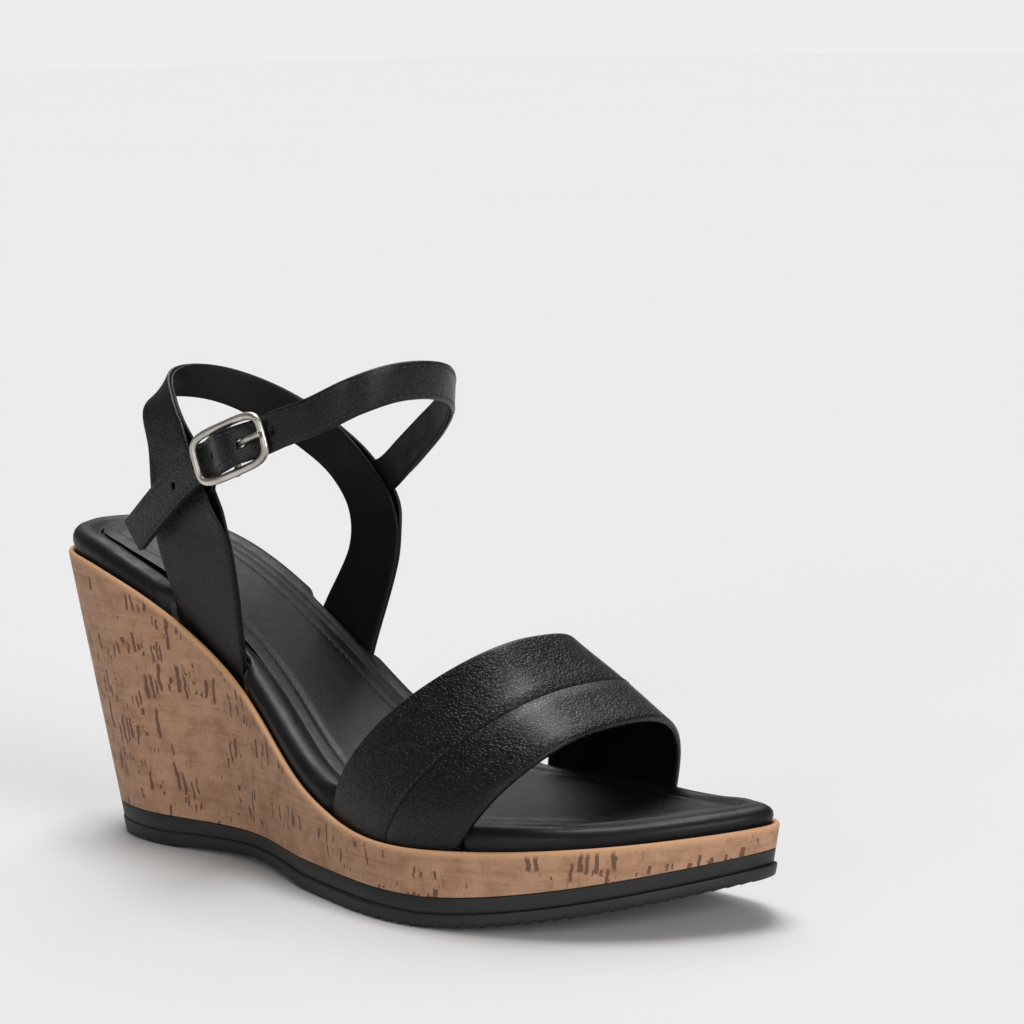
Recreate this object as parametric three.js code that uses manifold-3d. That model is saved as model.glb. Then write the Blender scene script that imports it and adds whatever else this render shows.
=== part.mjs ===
// Wedge sandal, right foot. Millimetres, Z up, X from heel to toe, Y towards the inner side
// of the foot. The origin lies on the heel's flat rest face, on the floor.
import * as THREE from 'three';
import { mergeVertices } from 'three/addons/utils/BufferGeometryUtils.js';
import Module from 'manifold-3d';

const wasm = await Module();
wasm.setup();

/* ------------------------------ Driving dimensions ------------------------------ */

const FIT_GAP = 0.3; // clearance between pieces that touch

const SOLE = {
  heelBack: 43, // rim of the heel behind the origin
  toeTip: 220, // rim of the toe ahead of the origin
  toeOffset: 19, // how far the toe tip lies to the inner side
  ballAt: 140, // where the platform is thinnest
  heelWidth: 57,
  waistWidth: 56.5,
  ballWidth: 90.5,
  toeWidth: 72,
  heelHeight: 87, // cork rim above the floor
  ballHeight: 21.7,
  toeHeight: 27.5,
};

const HEEL = {
  overhang: 22.5, // the rim reaches this far behind the tread
  taper: 0.18, // narrowing from rim to tread, as a share of the width
  padEnd: 10, // front edge of the flat rest face
};

const TOE_RAKE = 6; // the rim reaches this far ahead of the tread

const OUTSOLE = {
  heelThickness: 10,
  toeThickness: 8.2,
  ledge: 1.6, // how far the lower band stands out
  bandShare: 0.51, // lower band's share of the thickness
  chamfer: 1,
  archRise: 1.6,
  archEnd: 85,
  toeSpring: 12,
  springStart: 145,
};

const CORK = { thickness: 2, lipRadius: 1 };

const FOOTBED = {
  sink: 3.2, // how far the stack reaches below the cork rim
  rise: 7, // rolled rim above the cork rim
  boardThickness: 2,
  leather: 1.3,
  rimWidth: 8,
  sockRecess: 1.8,
  sockThickness: 1.6,
  shoulder: 3, // rounding of the rolled rim
};

const SHANK = { start: -8, end: 100, width: 13, thickness: 1.6, rivetInset: 8 };
const RIVET = { radius: 2, headRadius: 3.6, headHeight: 0.9, length: 5 };

const LEATHER = { outer: 1.1, lining: 0.9 };
const STRAP_THICKNESS = LEATHER.outer + FIT_GAP + LEATHER.lining;
const TUCK = 8; // strap ends reach this far below the cork rim

const VAMP = {
  rearLateral: 104.5, // where the edges leave the rim, and where they cross the top
  frontLateral: 157.5,
  rearMedial: 120,
  frontMedial: 170,
  rearCrest: 149.5,
  frontCrest: 181.5,
  rearRise: 51.5, // height of the opening over the cork rim
  frontRise: 31,
  seamShare: 0.48, // where the two panels meet, from the front edge
  lateralPower: 2.3, // fullness of the arch: 2 is an ellipse, more is squarer
  medialPower: 2.9,
};

const SLING = { rearLateral: 21.5, frontLateral: 49, rearMedial: 32, frontMedial: 52.5, inset: 1 };
const ANKLE = { halfWidth: 31, strapWidth: 11 };

const BUCKLE = {
  at: [64, 45.3], // X, and height over the heel seat
  stand: 7, // frame's middle outside the ankle's half width
  length: 33,
  wire: 2.4,
  sideRoom: 0.5, // between the strap and each long rail
  corner: 5,
  barRadius: 1.1,
  barInset: 1.6, // the centre bar sits this far behind the frame
  tilt: 20, // degrees, front end up
  prongRadius: 0.85,
  prongEye: 2.5, // outer radius of the prong's eye
};
const CHAPE = { width: ANKLE.strapWidth - 1.6, thickness: 0.7 };
const HOLE = { radius: 1.1, spacing: 12, prong: 6.2, ahead: 1, behind: 3 };

/* --------------------------------- Mesh helpers --------------------------------- */

function solid(points, faces) {
  const geometry = new THREE.BufferGeometry();
  geometry.setAttribute('position', new THREE.Float32BufferAttribute(points.flatMap((p) => [p.x, p.y, p.z]), 3));
  geometry.setIndex(faces.flat());
  return geometry;
}

function toManifold(geometry) {
  const bare = geometry.clone();
  bare.deleteAttribute('normal');
  bare.deleteAttribute('uv');
  const merged = mergeVertices(bare, 1e-4);
  return new wasm.Manifold(new wasm.Mesh({
    numProp: 3,
    vertProperties: merged.attributes.position.array,
    triVerts: new Uint32Array(merged.index.array),
  }));
}

function fromManifold(body) {
  const mesh = body.getMesh();
  const geometry = new THREE.BufferGeometry();
  geometry.setAttribute('position', new THREE.BufferAttribute(mesh.vertProperties, 3));
  geometry.setIndex(new THREE.BufferAttribute(mesh.triVerts, 1));
  return geometry;
}

const cut = (geometry, ...tools) =>
  fromManifold(tools.reduce((body, tool) => body.subtract(toManifold(tool)), toManifold(geometry)));

const join = (...geometries) =>
  fromManifold(geometries.map(toManifold).reduce((body, next) => body.add(next)));

// Walls between neighbouring rings of equal length, each ring counter-clockwise from above
function ringWalls(rings, closed) {
  const size = rings[0].length;
  const count = closed ? rings.length : rings.length - 1;
  const faces = [];
  for (let r = 0; r < count; r += 1) {
    const low = r * size;
    const high = ((r + 1) % rings.length) * size;
    for (let i = 0; i < size; i += 1) {
      const j = (i + 1) % size;
      faces.push([low + i, low + j, high + j], [low + i, high + j, high + i]);
    }
  }
  return faces;
}

// Cap made of strips that join each outer-side point to the inner-side point across from it
function ringCap(start, size, up) {
  const faces = [];
  const half = size / 2;
  faces.push([start, start + 1, start + size - 1]);
  for (let i = 1; i < half - 1; i += 1) {
    const a = start + i;
    const b = start + size - i;
    faces.push([a, a + 1, b - 1], [a, b - 1, b]);
  }
  faces.push([start + half - 1, start + half, start + half + 1]);
  return up ? faces : faces.map(([a, b, c]) => [a, c, b]);
}

function loft(rings) {
  const size = rings[0].length;
  return solid(rings.flat(), [
    ...ringCap(0, size, false),
    ...ringWalls(rings, false),
    ...ringCap((rings.length - 1) * size, size, true),
  ]);
}

const loftRing = (rings) => solid(rings.flat(), ringWalls(rings, true));

// A sheet of leather on a surface. `surface(u, v)` gives its middle; `inner` and `outer` give
// how far each face lies along the surface's normal.
function sheet(surface, { uSteps, vSteps, inner, outer }) {
  const STEP = 1e-3;
  const points = [];
  const normalAt = (u, v) => {
    const alongU = surface(u + STEP, v).sub(surface(u - STEP, v));
    const alongV = surface(u, v + STEP).sub(surface(u, v - STEP));
    return alongU.cross(alongV).normalize();
  };
  for (const offset of [inner, outer]) {
    for (let i = 0; i <= uSteps; i += 1) {
      for (let j = 0; j <= vSteps; j += 1) {
        const [u, v] = [i / uSteps, j / vSteps];
        points.push(surface(u, v).addScaledVector(normalAt(u, v), offset(u, v)));
      }
    }
  }
  const row = vSteps + 1;
  const layer = (uSteps + 1) * row;
  const faces = [];
  for (let i = 0; i < uSteps; i += 1) {
    for (let j = 0; j < vSteps; j += 1) {
      const a = i * row + j;
      const [b, c, d] = [a + row, a + row + 1, a + 1];
      faces.push([a, c, b], [a, d, c]);
      faces.push([a + layer, b + layer, c + layer], [a + layer, c + layer, d + layer]);
    }
  }
  const rim = [];
  for (let i = 0; i < uSteps; i += 1) rim.push(i * row);
  for (let j = 0; j < vSteps; j += 1) rim.push(uSteps * row + j);
  for (let i = uSteps; i > 0; i -= 1) rim.push(i * row + vSteps);
  for (let j = vSteps; j > 0; j -= 1) rim.push(j);
  rim.forEach((a, k) => {
    const b = rim[(k + 1) % rim.length];
    faces.push([a, b, b + layer], [a, b + layer, a + layer]);
  });
  return solid(points, faces);
}

const lerp = THREE.MathUtils.lerp;
const clamp = THREE.MathUtils.clamp;
const smooth = (t) => THREE.MathUtils.smootherstep(t, 0, 1);
const vec = (x, y, z) => new THREE.Vector3(x, y, z);

/* --------------------------------- Sole's surfaces -------------------------------- */

const soleSpan = SOLE.ballAt + SOLE.heelBack;
const forefoot = SOLE.toeTip - SOLE.ballAt;

// Height of the cork rim over the floor: a wedge that eases into the platform
function rimHeight(x) {
  const heelward = (SOLE.ballAt - x) / soleSpan;
  const toeward = clamp((x - SOLE.ballAt) / forefoot, 0, 1);
  return SOLE.ballHeight
    + (SOLE.heelHeight - SOLE.ballHeight) * smooth(heelward)
    + (SOLE.toeHeight - SOLE.ballHeight) * toeward ** 1.4;
}

// Underside of the tread: flat rest, shallow arch, flat ball, toe spring
function treadHeight(x) {
  const arch = clamp((x - HEEL.padEnd) / (OUTSOLE.archEnd - HEEL.padEnd), 0, 1);
  const spring = clamp((x - OUTSOLE.springStart) / (SOLE.toeTip - OUTSOLE.springStart), 0, 1);
  return OUTSOLE.archRise * Math.sin(Math.PI * arch) ** 0.5 + OUTSOLE.toeSpring * spring ** 1.5;
}

function outsoleTop(x) {
  const along = clamp((x + SOLE.heelBack) / (SOLE.toeTip + SOLE.heelBack), 0, 1);
  const spring = clamp((x - OUTSOLE.springStart) / (SOLE.toeTip - OUTSOLE.springStart), 0, 1);
  return lerp(OUTSOLE.heelThickness, OUTSOLE.toeThickness, along) + OUTSOLE.toeSpring * spring ** 1.5;
}

// Rim's plan: stations from heel to toe, [x, outer half width, inner half width]
function rimStations() {
  const { heelBack, heelWidth, waistWidth, ballWidth, toeWidth, ballAt, toeTip } = SOLE;
  return [
    [-heelBack * 0.74, heelWidth * 0.36, heelWidth * 0.36],
    [-heelBack * 0.2, heelWidth * 0.5, heelWidth * 0.48],
    [ballAt * 0.33, waistWidth * 0.445, waistWidth * 0.555],
    [ballAt * 0.67, (waistWidth + ballWidth) * 0.269, (waistWidth + ballWidth) * 0.213],
    [ballAt, ballWidth * 0.533, ballWidth * 0.467],
    [lerp(ballAt, toeTip, 0.49), toeWidth * 0.507, toeWidth * 0.493],
    [lerp(ballAt, toeTip, 0.82), toeWidth * 0.19, toeWidth * 0.44],
  ];
}

const PLAN_STEPS = 4; // samples between stations
const PLAN = soleplan();

// Rim and tread outlines with the same count of points, heel to toe along the outer side and back
function soleplan() {
  const stations = rimStations();
  const control = [
    vec(-SOLE.heelBack, 0, 0),
    ...stations.map(([x, outer]) => vec(x, -outer, 0)),
    vec(SOLE.toeTip, SOLE.toeOffset, 0),
    ...stations.map(([x, , inner]) => vec(x, inner, 0)).reverse(),
  ];
  const heelward = (p) => clamp((SOLE.ballAt - p.x) / soleSpan, 0, 1) ** 2;
  const floorControl = control.map((p) => {
    const share = heelward(p);
    const rake = TOE_RAKE * clamp((p.x - SOLE.ballAt) / forefoot, 0, 1) ** 2;
    return vec(p.x + HEEL.overhang * share - rake, p.y * (1 - HEEL.taper * share), 0);
  });
  const rimCurve = new THREE.CatmullRomCurve3(control, true, 'centripetal');
  const floorCurve = new THREE.CatmullRomCurve3(floorControl, true, 'centripetal');
  const count = control.length * PLAN_STEPS;
  return Array.from({ length: count }, (_, i) => {
    const u = i / count;
    const tangent = rimCurve.getTangent(u);
    return { rim: rimCurve.getPoint(u), floor: floorCurve.getPoint(u), out: vec(tangent.y, -tangent.x, 0) };
  });
}

// Ring round the sole's wall where `height(x)` meets it, moved inwards by `inset`
function wallRing(height, inset) {
  return PLAN.map(({ rim, floor, out }) => {
    const z = height(rim.x);
    const point = floor.clone().lerp(rim, z / rimHeight(rim.x)).addScaledVector(out, -inset);
    return point.setZ(z);
  });
}

const above = (rise) => (x) => rimHeight(x) + rise;

// Point of the rim at a station, moved inwards. side is -1 on the outer side, 1 on the inner.
function rimPoint(x, side, inset) {
  const half = PLAN.filter((p) => Math.sign(p.rim.y) === side && Math.abs(p.rim.x - x) < soleSpan);
  const edge = half.map((p) => p.rim.clone().addScaledVector(p.out, -inset)).sort((a, b) => a.x - b.x);
  const next = edge.findIndex((p) => p.x >= x);
  const [a, b] = [edge[next - 1], edge[next]];
  return lerp(a.y, b.y, (x - a.x) / (b.x - a.x));
}

/* ------------------------------------ The sole ------------------------------------ */

function outsole() {
  const level = (share) => (x) => lerp(treadHeight(x), outsoleTop(x), share);
  const chamferShare = OUTSOLE.chamfer / OUTSOLE.heelThickness;
  return loft([
    wallRing(level(0), OUTSOLE.chamfer - OUTSOLE.ledge),
    wallRing(level(chamferShare), -OUTSOLE.ledge),
    wallRing(level(OUTSOLE.bandShare - 0.03), -OUTSOLE.ledge),
    wallRing(level(OUTSOLE.bandShare), 0),
    wallRing(level(1), 0),
  ]);
}

const coreBase = (x) => outsoleTop(x) + FIT_GAP;
const coreTop = above(-FOOTBED.sink - FIT_GAP);

function corkWrap() {
  const { thickness, lipRadius } = CORK;
  return loftRing([
    wallRing(coreBase, 0),
    wallRing(above(-lipRadius), 0),
    wallRing(above(-lipRadius * 0.3), lipRadius * 0.3),
    wallRing(above(0), lipRadius),
    wallRing(above(-lipRadius * 0.3), thickness - lipRadius * 0.3),
    wallRing(above(-lipRadius), thickness),
    wallRing(coreBase, thickness),
  ]);
}

const coreInset = CORK.thickness + FIT_GAP;

const wedgeCore = () => loft([wallRing(coreBase, coreInset), wallRing(coreTop, coreInset)]);

const boardBottom = above(-FOOTBED.sink);
const boardTop = above(-FOOTBED.sink + FOOTBED.boardThickness);
const skirtInset = coreInset;
const foamInset = skirtInset + FOOTBED.leather + FIT_GAP;

const insoleBoard = () => loft([wallRing(boardBottom, foamInset), wallRing(boardTop, foamInset)]);

function footbedFoam() {
  const top = FOOTBED.rise - FOOTBED.leather - FIT_GAP;
  const low = -FOOTBED.sink + FOOTBED.boardThickness + FIT_GAP;
  const { shoulder, rimWidth, sockRecess } = FOOTBED;
  return loft([
    wallRing(above(low), foamInset),
    wallRing(above(top - shoulder), foamInset),
    wallRing(above(top), foamInset + shoulder),
    wallRing(above(top), skirtInset + rimWidth - FOOTBED.leather),
    wallRing(above(top - sockRecess), skirtInset + rimWidth),
  ]);
}

// Leather wrapped over the foam and down its edge, with a recess for the sock lining
function footbedCover() {
  const { rise, sink, leather, shoulder, rimWidth, sockRecess } = FOOTBED;
  const base = -sink + FIT_GAP;
  return loft([
    wallRing(above(rise - leather - sockRecess), skirtInset + rimWidth),
    wallRing(above(rise - leather), skirtInset + rimWidth - leather),
    wallRing(above(rise - leather), foamInset - FIT_GAP + shoulder),
    wallRing(above(rise - leather - shoulder), foamInset - FIT_GAP),
    wallRing(above(base), foamInset - FIT_GAP),
    wallRing(above(base), skirtInset),
    wallRing(above(rise - shoulder), skirtInset),
    wallRing(above(rise - shoulder * 0.3), skirtInset + shoulder * 0.3),
    wallRing(above(rise), skirtInset + shoulder),
    wallRing(above(rise), skirtInset + rimWidth),
    wallRing(above(rise - sockRecess), skirtInset + rimWidth + sockRecess * 0.4),
  ]);
}

function sockLining() {
  const { rise, rimWidth, sockRecess, sockThickness } = FOOTBED;
  const base = rise - sockRecess + FIT_GAP;
  const inset = skirtInset + rimWidth + sockRecess * 0.4 + FIT_GAP;
  return loft([
    wallRing(above(base), inset),
    wallRing(above(base + sockThickness * 0.6), inset),
    wallRing(above(base + sockThickness), inset + sockThickness * 0.6),
  ]);
}

// Middle of the sole across its width
const soleMiddle = (x) => (rimPoint(x, -1, 0) + rimPoint(x, 1, 0)) / 2;
const shankTop = (x) => rimHeight(x) - FOOTBED.sink - FIT_GAP;

// A steel strip along the sole's middle, set into the core under the insole board
function shankBar(clearance) {
  const { start, end, width, thickness } = SHANK;
  const surface = (u, v) => {
    const x = lerp(start - clearance, end + clearance, u);
    return vec(x, soleMiddle(x) + (0.5 - v) * (width + 2 * clearance), shankTop(x));
  };
  return sheet(surface, {
    uSteps: 14,
    vSteps: 1,
    inner: () => (clearance > 0 ? -1 : 0),
    outer: () => thickness + clearance,
  });
}

// A tubular rivet through the insole board and the shank, square to the board at station x
function rivet(x, clearance) {
  const { radius, headRadius, headHeight, length } = RIVET;
  const [stem, head] = [radius + clearance, headRadius + clearance];
  const seat = FOOTBED.boardThickness + 2 * FIT_GAP;
  const top = seat + headHeight + clearance;
  const profile = [[0, -length - clearance], [stem, -length - clearance], [stem, seat - clearance],
    [head, seat - clearance], [head * 0.8, top], [0, top]];
  const geometry = new THREE.LatheGeometry(profile.map(([r, y]) => new THREE.Vector2(r, y)), 16);
  const slope = (rimHeight(x + 1) - rimHeight(x - 1)) / 2;
  return geometry
    .rotateX(Math.PI / 2)
    .rotateY(-Math.atan(slope))
    .translate(x, soleMiddle(x), shankTop(x));
}

const rivetStations = [SHANK.start + SHANK.rivetInset, SHANK.end - SHANK.rivetInset];

/* ----------------------------------- The leather ---------------------------------- */

const halfStack = STRAP_THICKNESS / 2;
const edgeInset = coreInset + halfStack + 0.5; // middle of a strap where it leaves the rim
const outerLayer = [FIT_GAP / 2, FIT_GAP / 2 + LEATHER.outer];
const liningLayer = [-FIT_GAP / 2 - LEATHER.lining, -FIT_GAP / 2];

const rimEdge = (x, side, rise, extra = 0) =>
  vec(x, rimPoint(x, side, edgeInset + extra), rimHeight(x) + rise);

// Vamp's middle surface: u from the outer side over the foot to the inner side, v from the
// front edge to the rear edge
function vampSurface(u, v) {
  const VAMP_END = 2 / 30; // share of each end that is tucked below the rim
  const { rearLateral, frontLateral, rearMedial, frontMedial } = VAMP;
  const lateral = rimEdge(lerp(frontLateral, rearLateral, v), -1, 0);
  const medial = rimEdge(lerp(frontMedial, rearMedial, v), 1, 0);
  const arch = (u - VAMP_END) / (1 - 2 * VAMP_END);
  const angle = Math.PI * clamp(arch, 0, 1);
  const power = 2 / (arch < 0.5 ? VAMP.lateralPower : VAMP.medialPower);
  const lift = Math.sin(angle) ** power;
  const across = (1 - Math.sign(Math.cos(angle)) * Math.abs(Math.cos(angle)) ** power) / 2;
  const point = lateral.lerp(medial, across);
  point.x += (lerp(VAMP.frontCrest, VAMP.rearCrest, v) - point.x) * Math.sin(angle) ** lerp(1, 1.5, v);
  point.z += lerp(VAMP.frontRise, VAMP.rearRise, v) * lift;
  const below = Math.max(VAMP_END - u, u - 1 + VAMP_END, 0) / VAMP_END;
  point.z -= TUCK * below;
  return point;
}

const seat = rimHeight(0);
const ankle = (x, side, rise) => vec(x, side * ANKLE.halfWidth, seat + rise);

// Back strap's two edges, from the outer side round the ankle to the inner side: the front
// (upper) edge and the rear (lower) edge, station by station
function slingEdges() {
  const { rearLateral, frontLateral, rearMedial, frontMedial, inset } = SLING;
  const rows = [
    [ankle(50.5, -0.87, 15.5), ankle(19, -0.87, 14)],
    [ankle(46.5, -0.94, 28.7), ankle(18, -0.89, 29)],
    [ankle(36.5, -0.9, 44.3), ankle(14, -0.79, 40.5)],
    [ankle(23, -0.71, 55.8), ankle(6.5, -0.63, 51.5)],
    [ankle(11, -0.39, 62.7), ankle(4.2, -0.32, 54.6)],
    [ankle(7, 0, 63.9), ankle(6.5, 0.06, 53.2)],
    [ankle(10, 0.42, 61.4), ankle(9, 0.42, 49.4)],
    [ankle(19, 0.81, 54.9), ankle(14.5, 0.74, 42.9)],
    [ankle(36, 1, 44.9), ankle(25, 0.95, 34.9)],
    [ankle(51, 1.03, 33.9), ankle(35.3, 1, 27.2)],
    [ankle(60.5, 1.05, 21.9), ankle(41, 1.03, 17.9)],
    [ankle(61.7, 1.03, 6.9), ankle(41, 1.03, 6.9)],
  ];
  const stations = [
    [rimEdge(frontLateral, -1, -TUCK, inset), rimEdge(rearLateral, -1, -TUCK, inset)],
    [rimEdge(frontLateral, -1, 0, inset), rimEdge(rearLateral, -1, 0, inset)],
    ...rows,
    [rimEdge(frontMedial, 1, 0), rimEdge(rearMedial, 1, 0)],
    [rimEdge(frontMedial, 1, -TUCK), rimEdge(rearMedial, 1, -TUCK)],
  ];
  const curve = (k) => new THREE.CatmullRomCurve3(stations.map((pair) => pair[k]), false, 'centripetal');
  return { front: curve(0), rear: curve(1), spans: stations.length - 1 };
}

const SLING_EDGES = slingEdges();

// A curve's point, going straight on past its ends
function along(curve, u) {
  const inside = clamp(u, 0, 1);
  const beyond = (u - inside) * curve.getLength();
  return curve.getPoint(inside).addScaledVector(curve.getTangent(inside), beyond);
}

const slingSurface = (u, v) => along(SLING_EDGES.front, u).lerp(along(SLING_EDGES.rear, u), v);

const CHAPE_STATION = 3.3 / SLING_EDGES.spans; // where the buckle's chape enters the back strap
const STRAP_STATION = 11.4 / SLING_EDGES.spans; // where the ankle strap's fixed end enters it

const ENTRY = 0.15; // share of the back strap's width that an attached end reaches into it
const SKIVE = 0.45; // an attached end is thinned to this share of its thickness

// How far each layer of the back strap gives way to an end of half thickness `half` that enters
// at the front edge: most there, nothing at the rear edge
function room(station, reach, half) {
  const depth = (half + FIT_GAP) / (1 - ENTRY);
  return (u, v) => {
    const near = smooth((reach - Math.abs(u - station) * SLING_EDGES.spans) / 0.9);
    return near * (1 - v) * depth;
  };
}

const chapeRoom = room(CHAPE_STATION, 1.3, CHAPE.thickness);
const strapRoom = room(STRAP_STATION, 1.4, SKIVE * halfStack);
const slingRoomAt = (u, v) => chapeRoom(u, v) + strapRoom(u, v);

// Buckle's own directions: along the strap towards the toe, across the strap, and outwards
const tilt = THREE.MathUtils.degToRad(BUCKLE.tilt);
const BUCKLE_AXES = {
  origin: vec(BUCKLE.at[0], -(ANKLE.halfWidth + BUCKLE.stand), seat + BUCKLE.at[1]),
  ahead: vec(Math.cos(tilt), 0, Math.sin(tilt)),
  across: vec(-Math.sin(tilt), 0, Math.cos(tilt)),
  out: vec(0, -1, 0),
};

const buckleMatrix = new THREE.Matrix4()
  .makeBasis(BUCKLE_AXES.ahead, BUCKLE_AXES.across, BUCKLE_AXES.out)
  .setPosition(BUCKLE_AXES.origin);
const inBuckle = (ahead, across, out) => vec(ahead, across, out).applyMatrix4(buckleMatrix);

const underBar = BUCKLE.wire / 2 + FIT_GAP + halfStack; // strap's middle behind an end bar
const overBar = -BUCKLE.barInset + BUCKLE.prongEye + FIT_GAP + halfStack; // and over the centre bar
const barReach = (BUCKLE.length - BUCKLE.wire) / 2;
const weaveReach = barReach - BUCKLE.wire / 2;

// Ankle strap's middle line, from its fixed end on the inner side to its free end, with the way
// its grain side faces at each point
function anklePath() {
  const stations = [
    [slingSurface(STRAP_STATION, ENTRY), vec(0, 1, 0)],
    [slingSurface(STRAP_STATION, -0.05), vec(0, 1, 0)],
    [ankle(67.5, 0.95, 36.5), vec(0.2, 1, 0)],
    [ankle(79, 0.84, 43.7), vec(0.35, 0.95, 0)],
    [ankle(92.5, 0.66, 51.5), vec(0.6, 0.8, 0)],
    [ankle(104, 0.43, 58.8), vec(0.8, 0.6, 0)],
    [ankle(110.5, 0.12, 63.4), vec(0.96, 0.28, 0)],
    [ankle(113, -0.24, 65.4), vec(1, 0, 0)],
    [ankle(111.8, -0.6, 65.2), vec(0.9, -0.4, 0)],
    [ankle(106.5, -0.9, 62.2), vec(0.55, -0.83, 0)],
    [ankle(95.5, -1.08, 56.5), vec(0.15, -1, 0)],
    [inBuckle(21, 0, -underBar), vec(0, -1, 0)],
    [inBuckle(15, 0, -underBar), vec(0, -1, 0)],
    [inBuckle(0, 0, -underBar), vec(0, -1, 0)],
    [inBuckle(-15, 0, -underBar), vec(0, -1, 0)],
    [inBuckle(-20, -0.4, -underBar), vec(0, -1, 0)],
    [ankle(32, -1.12, 28.7), vec(0, -1, 0)],
    [ankle(15, -1.06, 15.5), vec(0, -1, 0)],
  ];
  const curve = (k) => new THREE.CatmullRomCurve3(stations.map((pair) => pair[k]), false, 'centripetal');
  return { line: curve(0), facing: curve(1), buckleAt: 13 / (stations.length - 1) };
}

const ANKLE_PATH = anklePath();

// How far the strap rises between the buckle's end bars to pass over its centre bar
function weave(point) {
  const ahead = point.clone().sub(BUCKLE_AXES.origin).dot(BUCKLE_AXES.ahead);
  const reach = clamp(Math.abs(ahead) / weaveReach, 0, 1);
  return (underBar + overBar) * Math.cos(reach * Math.PI / 2) ** 2;
}

function ankleFrame(u) {
  const point = along(ANKLE_PATH.line, u);
  const tangent = ANKLE_PATH.line.getTangent(clamp(u, 0, 1));
  const facing = ANKLE_PATH.facing.getPoint(clamp(u, 0, 1));
  const down = facing.cross(tangent).normalize();
  const out = tangent.clone().cross(down).normalize();
  const onBuckle = Math.abs(u - ANKLE_PATH.buckleAt) < 0.15;
  return { point: point.addScaledVector(out, onBuckle ? weave(point) : 0), down, out };
}

function ankleSurface(u, v) {
  const { point, down } = ankleFrame(u);
  return point.addScaledVector(down, (v - 0.5) * ANKLE.strapWidth);
}

/* ----------------------------------- The buckle ----------------------------------- */

function roundedRectangle(path, length, width, radius) {
  const [x, y] = [length / 2 - radius, width / 2 - radius];
  path.absarc(x, -y, radius, -Math.PI / 2, 0, false);
  path.absarc(x, y, radius, 0, Math.PI / 2, false);
  path.absarc(-x, y, radius, Math.PI / 2, Math.PI, false);
  path.absarc(-x, -y, radius, Math.PI, Math.PI * 1.5, false);
  path.closePath();
  return path;
}

const barCentre = [0, 0, -BUCKLE.barInset];

function crossBar(radius, length) {
  return new THREE.CylinderGeometry(radius, radius, length, 16).translate(...barCentre);
}

function buckleFrame() {
  const { length, wire, corner, barRadius } = BUCKLE;
  const width = ANKLE.strapWidth + 2 * (BUCKLE.sideRoom + wire);
  const bevel = wire * 0.28;
  const shape = roundedRectangle(new THREE.Shape(), length - 2 * bevel, width - 2 * bevel, corner - bevel);
  const opening = roundedRectangle(new THREE.Path(), length - 2 * wire + 2 * bevel,
    width - 2 * wire + 2 * bevel, corner - wire + bevel);
  shape.holes.push(opening);
  const ring = new THREE.ExtrudeGeometry(shape, {
    depth: wire - 2 * bevel, bevelThickness: bevel, bevelSize: bevel, bevelSegments: 2, curveSegments: 5,
  }).translate(0, 0, bevel - wire / 2);
  return join(ring, crossBar(barRadius, width - wire));
}

// Pin of the prong: from its eye on the centre bar, through the strap, onto the front bar
function prongPin(clearance) {
  const { wire, prongRadius } = BUCKLE;
  const rest = wire / 2 + FIT_GAP + prongRadius;
  const route = new THREE.CatmullRomCurve3([
    vec(1.2, 0, -0.9), vec(5.5, 0, 0.2), vec(barReach - 4, 0, rest), vec(barReach + 1.6 + clearance, 0, rest - 0.1),
  ]);
  const section = new THREE.Shape().absarc(0, 0, prongRadius + clearance, 0, 2 * Math.PI, false);
  return new THREE.ExtrudeGeometry(section, { extrudePath: route, steps: 8, curveSegments: 8, bevelEnabled: false });
}

function prongEye(clearance) {
  const inner = BUCKLE.barRadius + FIT_GAP - clearance;
  const outer = BUCKLE.prongEye + clearance;
  const half = 0.95 + clearance;
  const profile = [[inner, -half], [outer, -half], [outer, half], [inner, half], [inner, -half]];
  return new THREE.LatheGeometry(profile.map(([r, y]) => new THREE.Vector2(r, y)), 18).translate(...barCentre);
}

// Leather loop round the centre bar, its tongue running back into the back strap
function chape() {
  const { thickness, width } = CHAPE;
  const eyeOuter = BUCKLE.barRadius + FIT_GAP + thickness;
  const loop = crossBar(eyeOuter, width).applyMatrix4(buckleMatrix);
  const line = new THREE.CatmullRomCurve3([
    inBuckle(-0.9, 0, -BUCKLE.barInset - 0.5),
    inBuckle(-8, 0, -4.4),
    inBuckle(-15, -0.4, -6),
    slingSurface(CHAPE_STATION, 0),
    slingSurface(CHAPE_STATION, ENTRY),
  ], false, 'centripetal');
  const surface = (u, v) => along(line, u).addScaledVector(BUCKLE_AXES.across, (v - 0.5) * width);
  const tongue = sheet(surface, { uSteps: 14, vSteps: 1, inner: () => -thickness, outer: () => thickness });
  const slot = join(prongEye(FIT_GAP), prongPin(FIT_GAP)).applyMatrix4(buckleMatrix);
  const bore = crossBar(BUCKLE.barRadius + FIT_GAP, width + 2).applyMatrix4(buckleMatrix);
  return cut(join(loop, tongue), bore, slot);
}

/* ----------------------------------- Strap holes ---------------------------------- */

// Curve parameter of the ankle strap at a distance ahead of the buckle's middle
function strapParameter(distance) {
  const { line, buckleAt } = ANKLE_PATH;
  const STEP = 0.0005;
  const way = distance > 0 ? -STEP : STEP;
  let [u, travelled] = [buckleAt, 0];
  while (travelled < Math.abs(distance)) {
    travelled += line.getPoint(u).distanceTo(line.getPoint(u + way));
    u += way;
  }
  return u;
}

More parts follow.
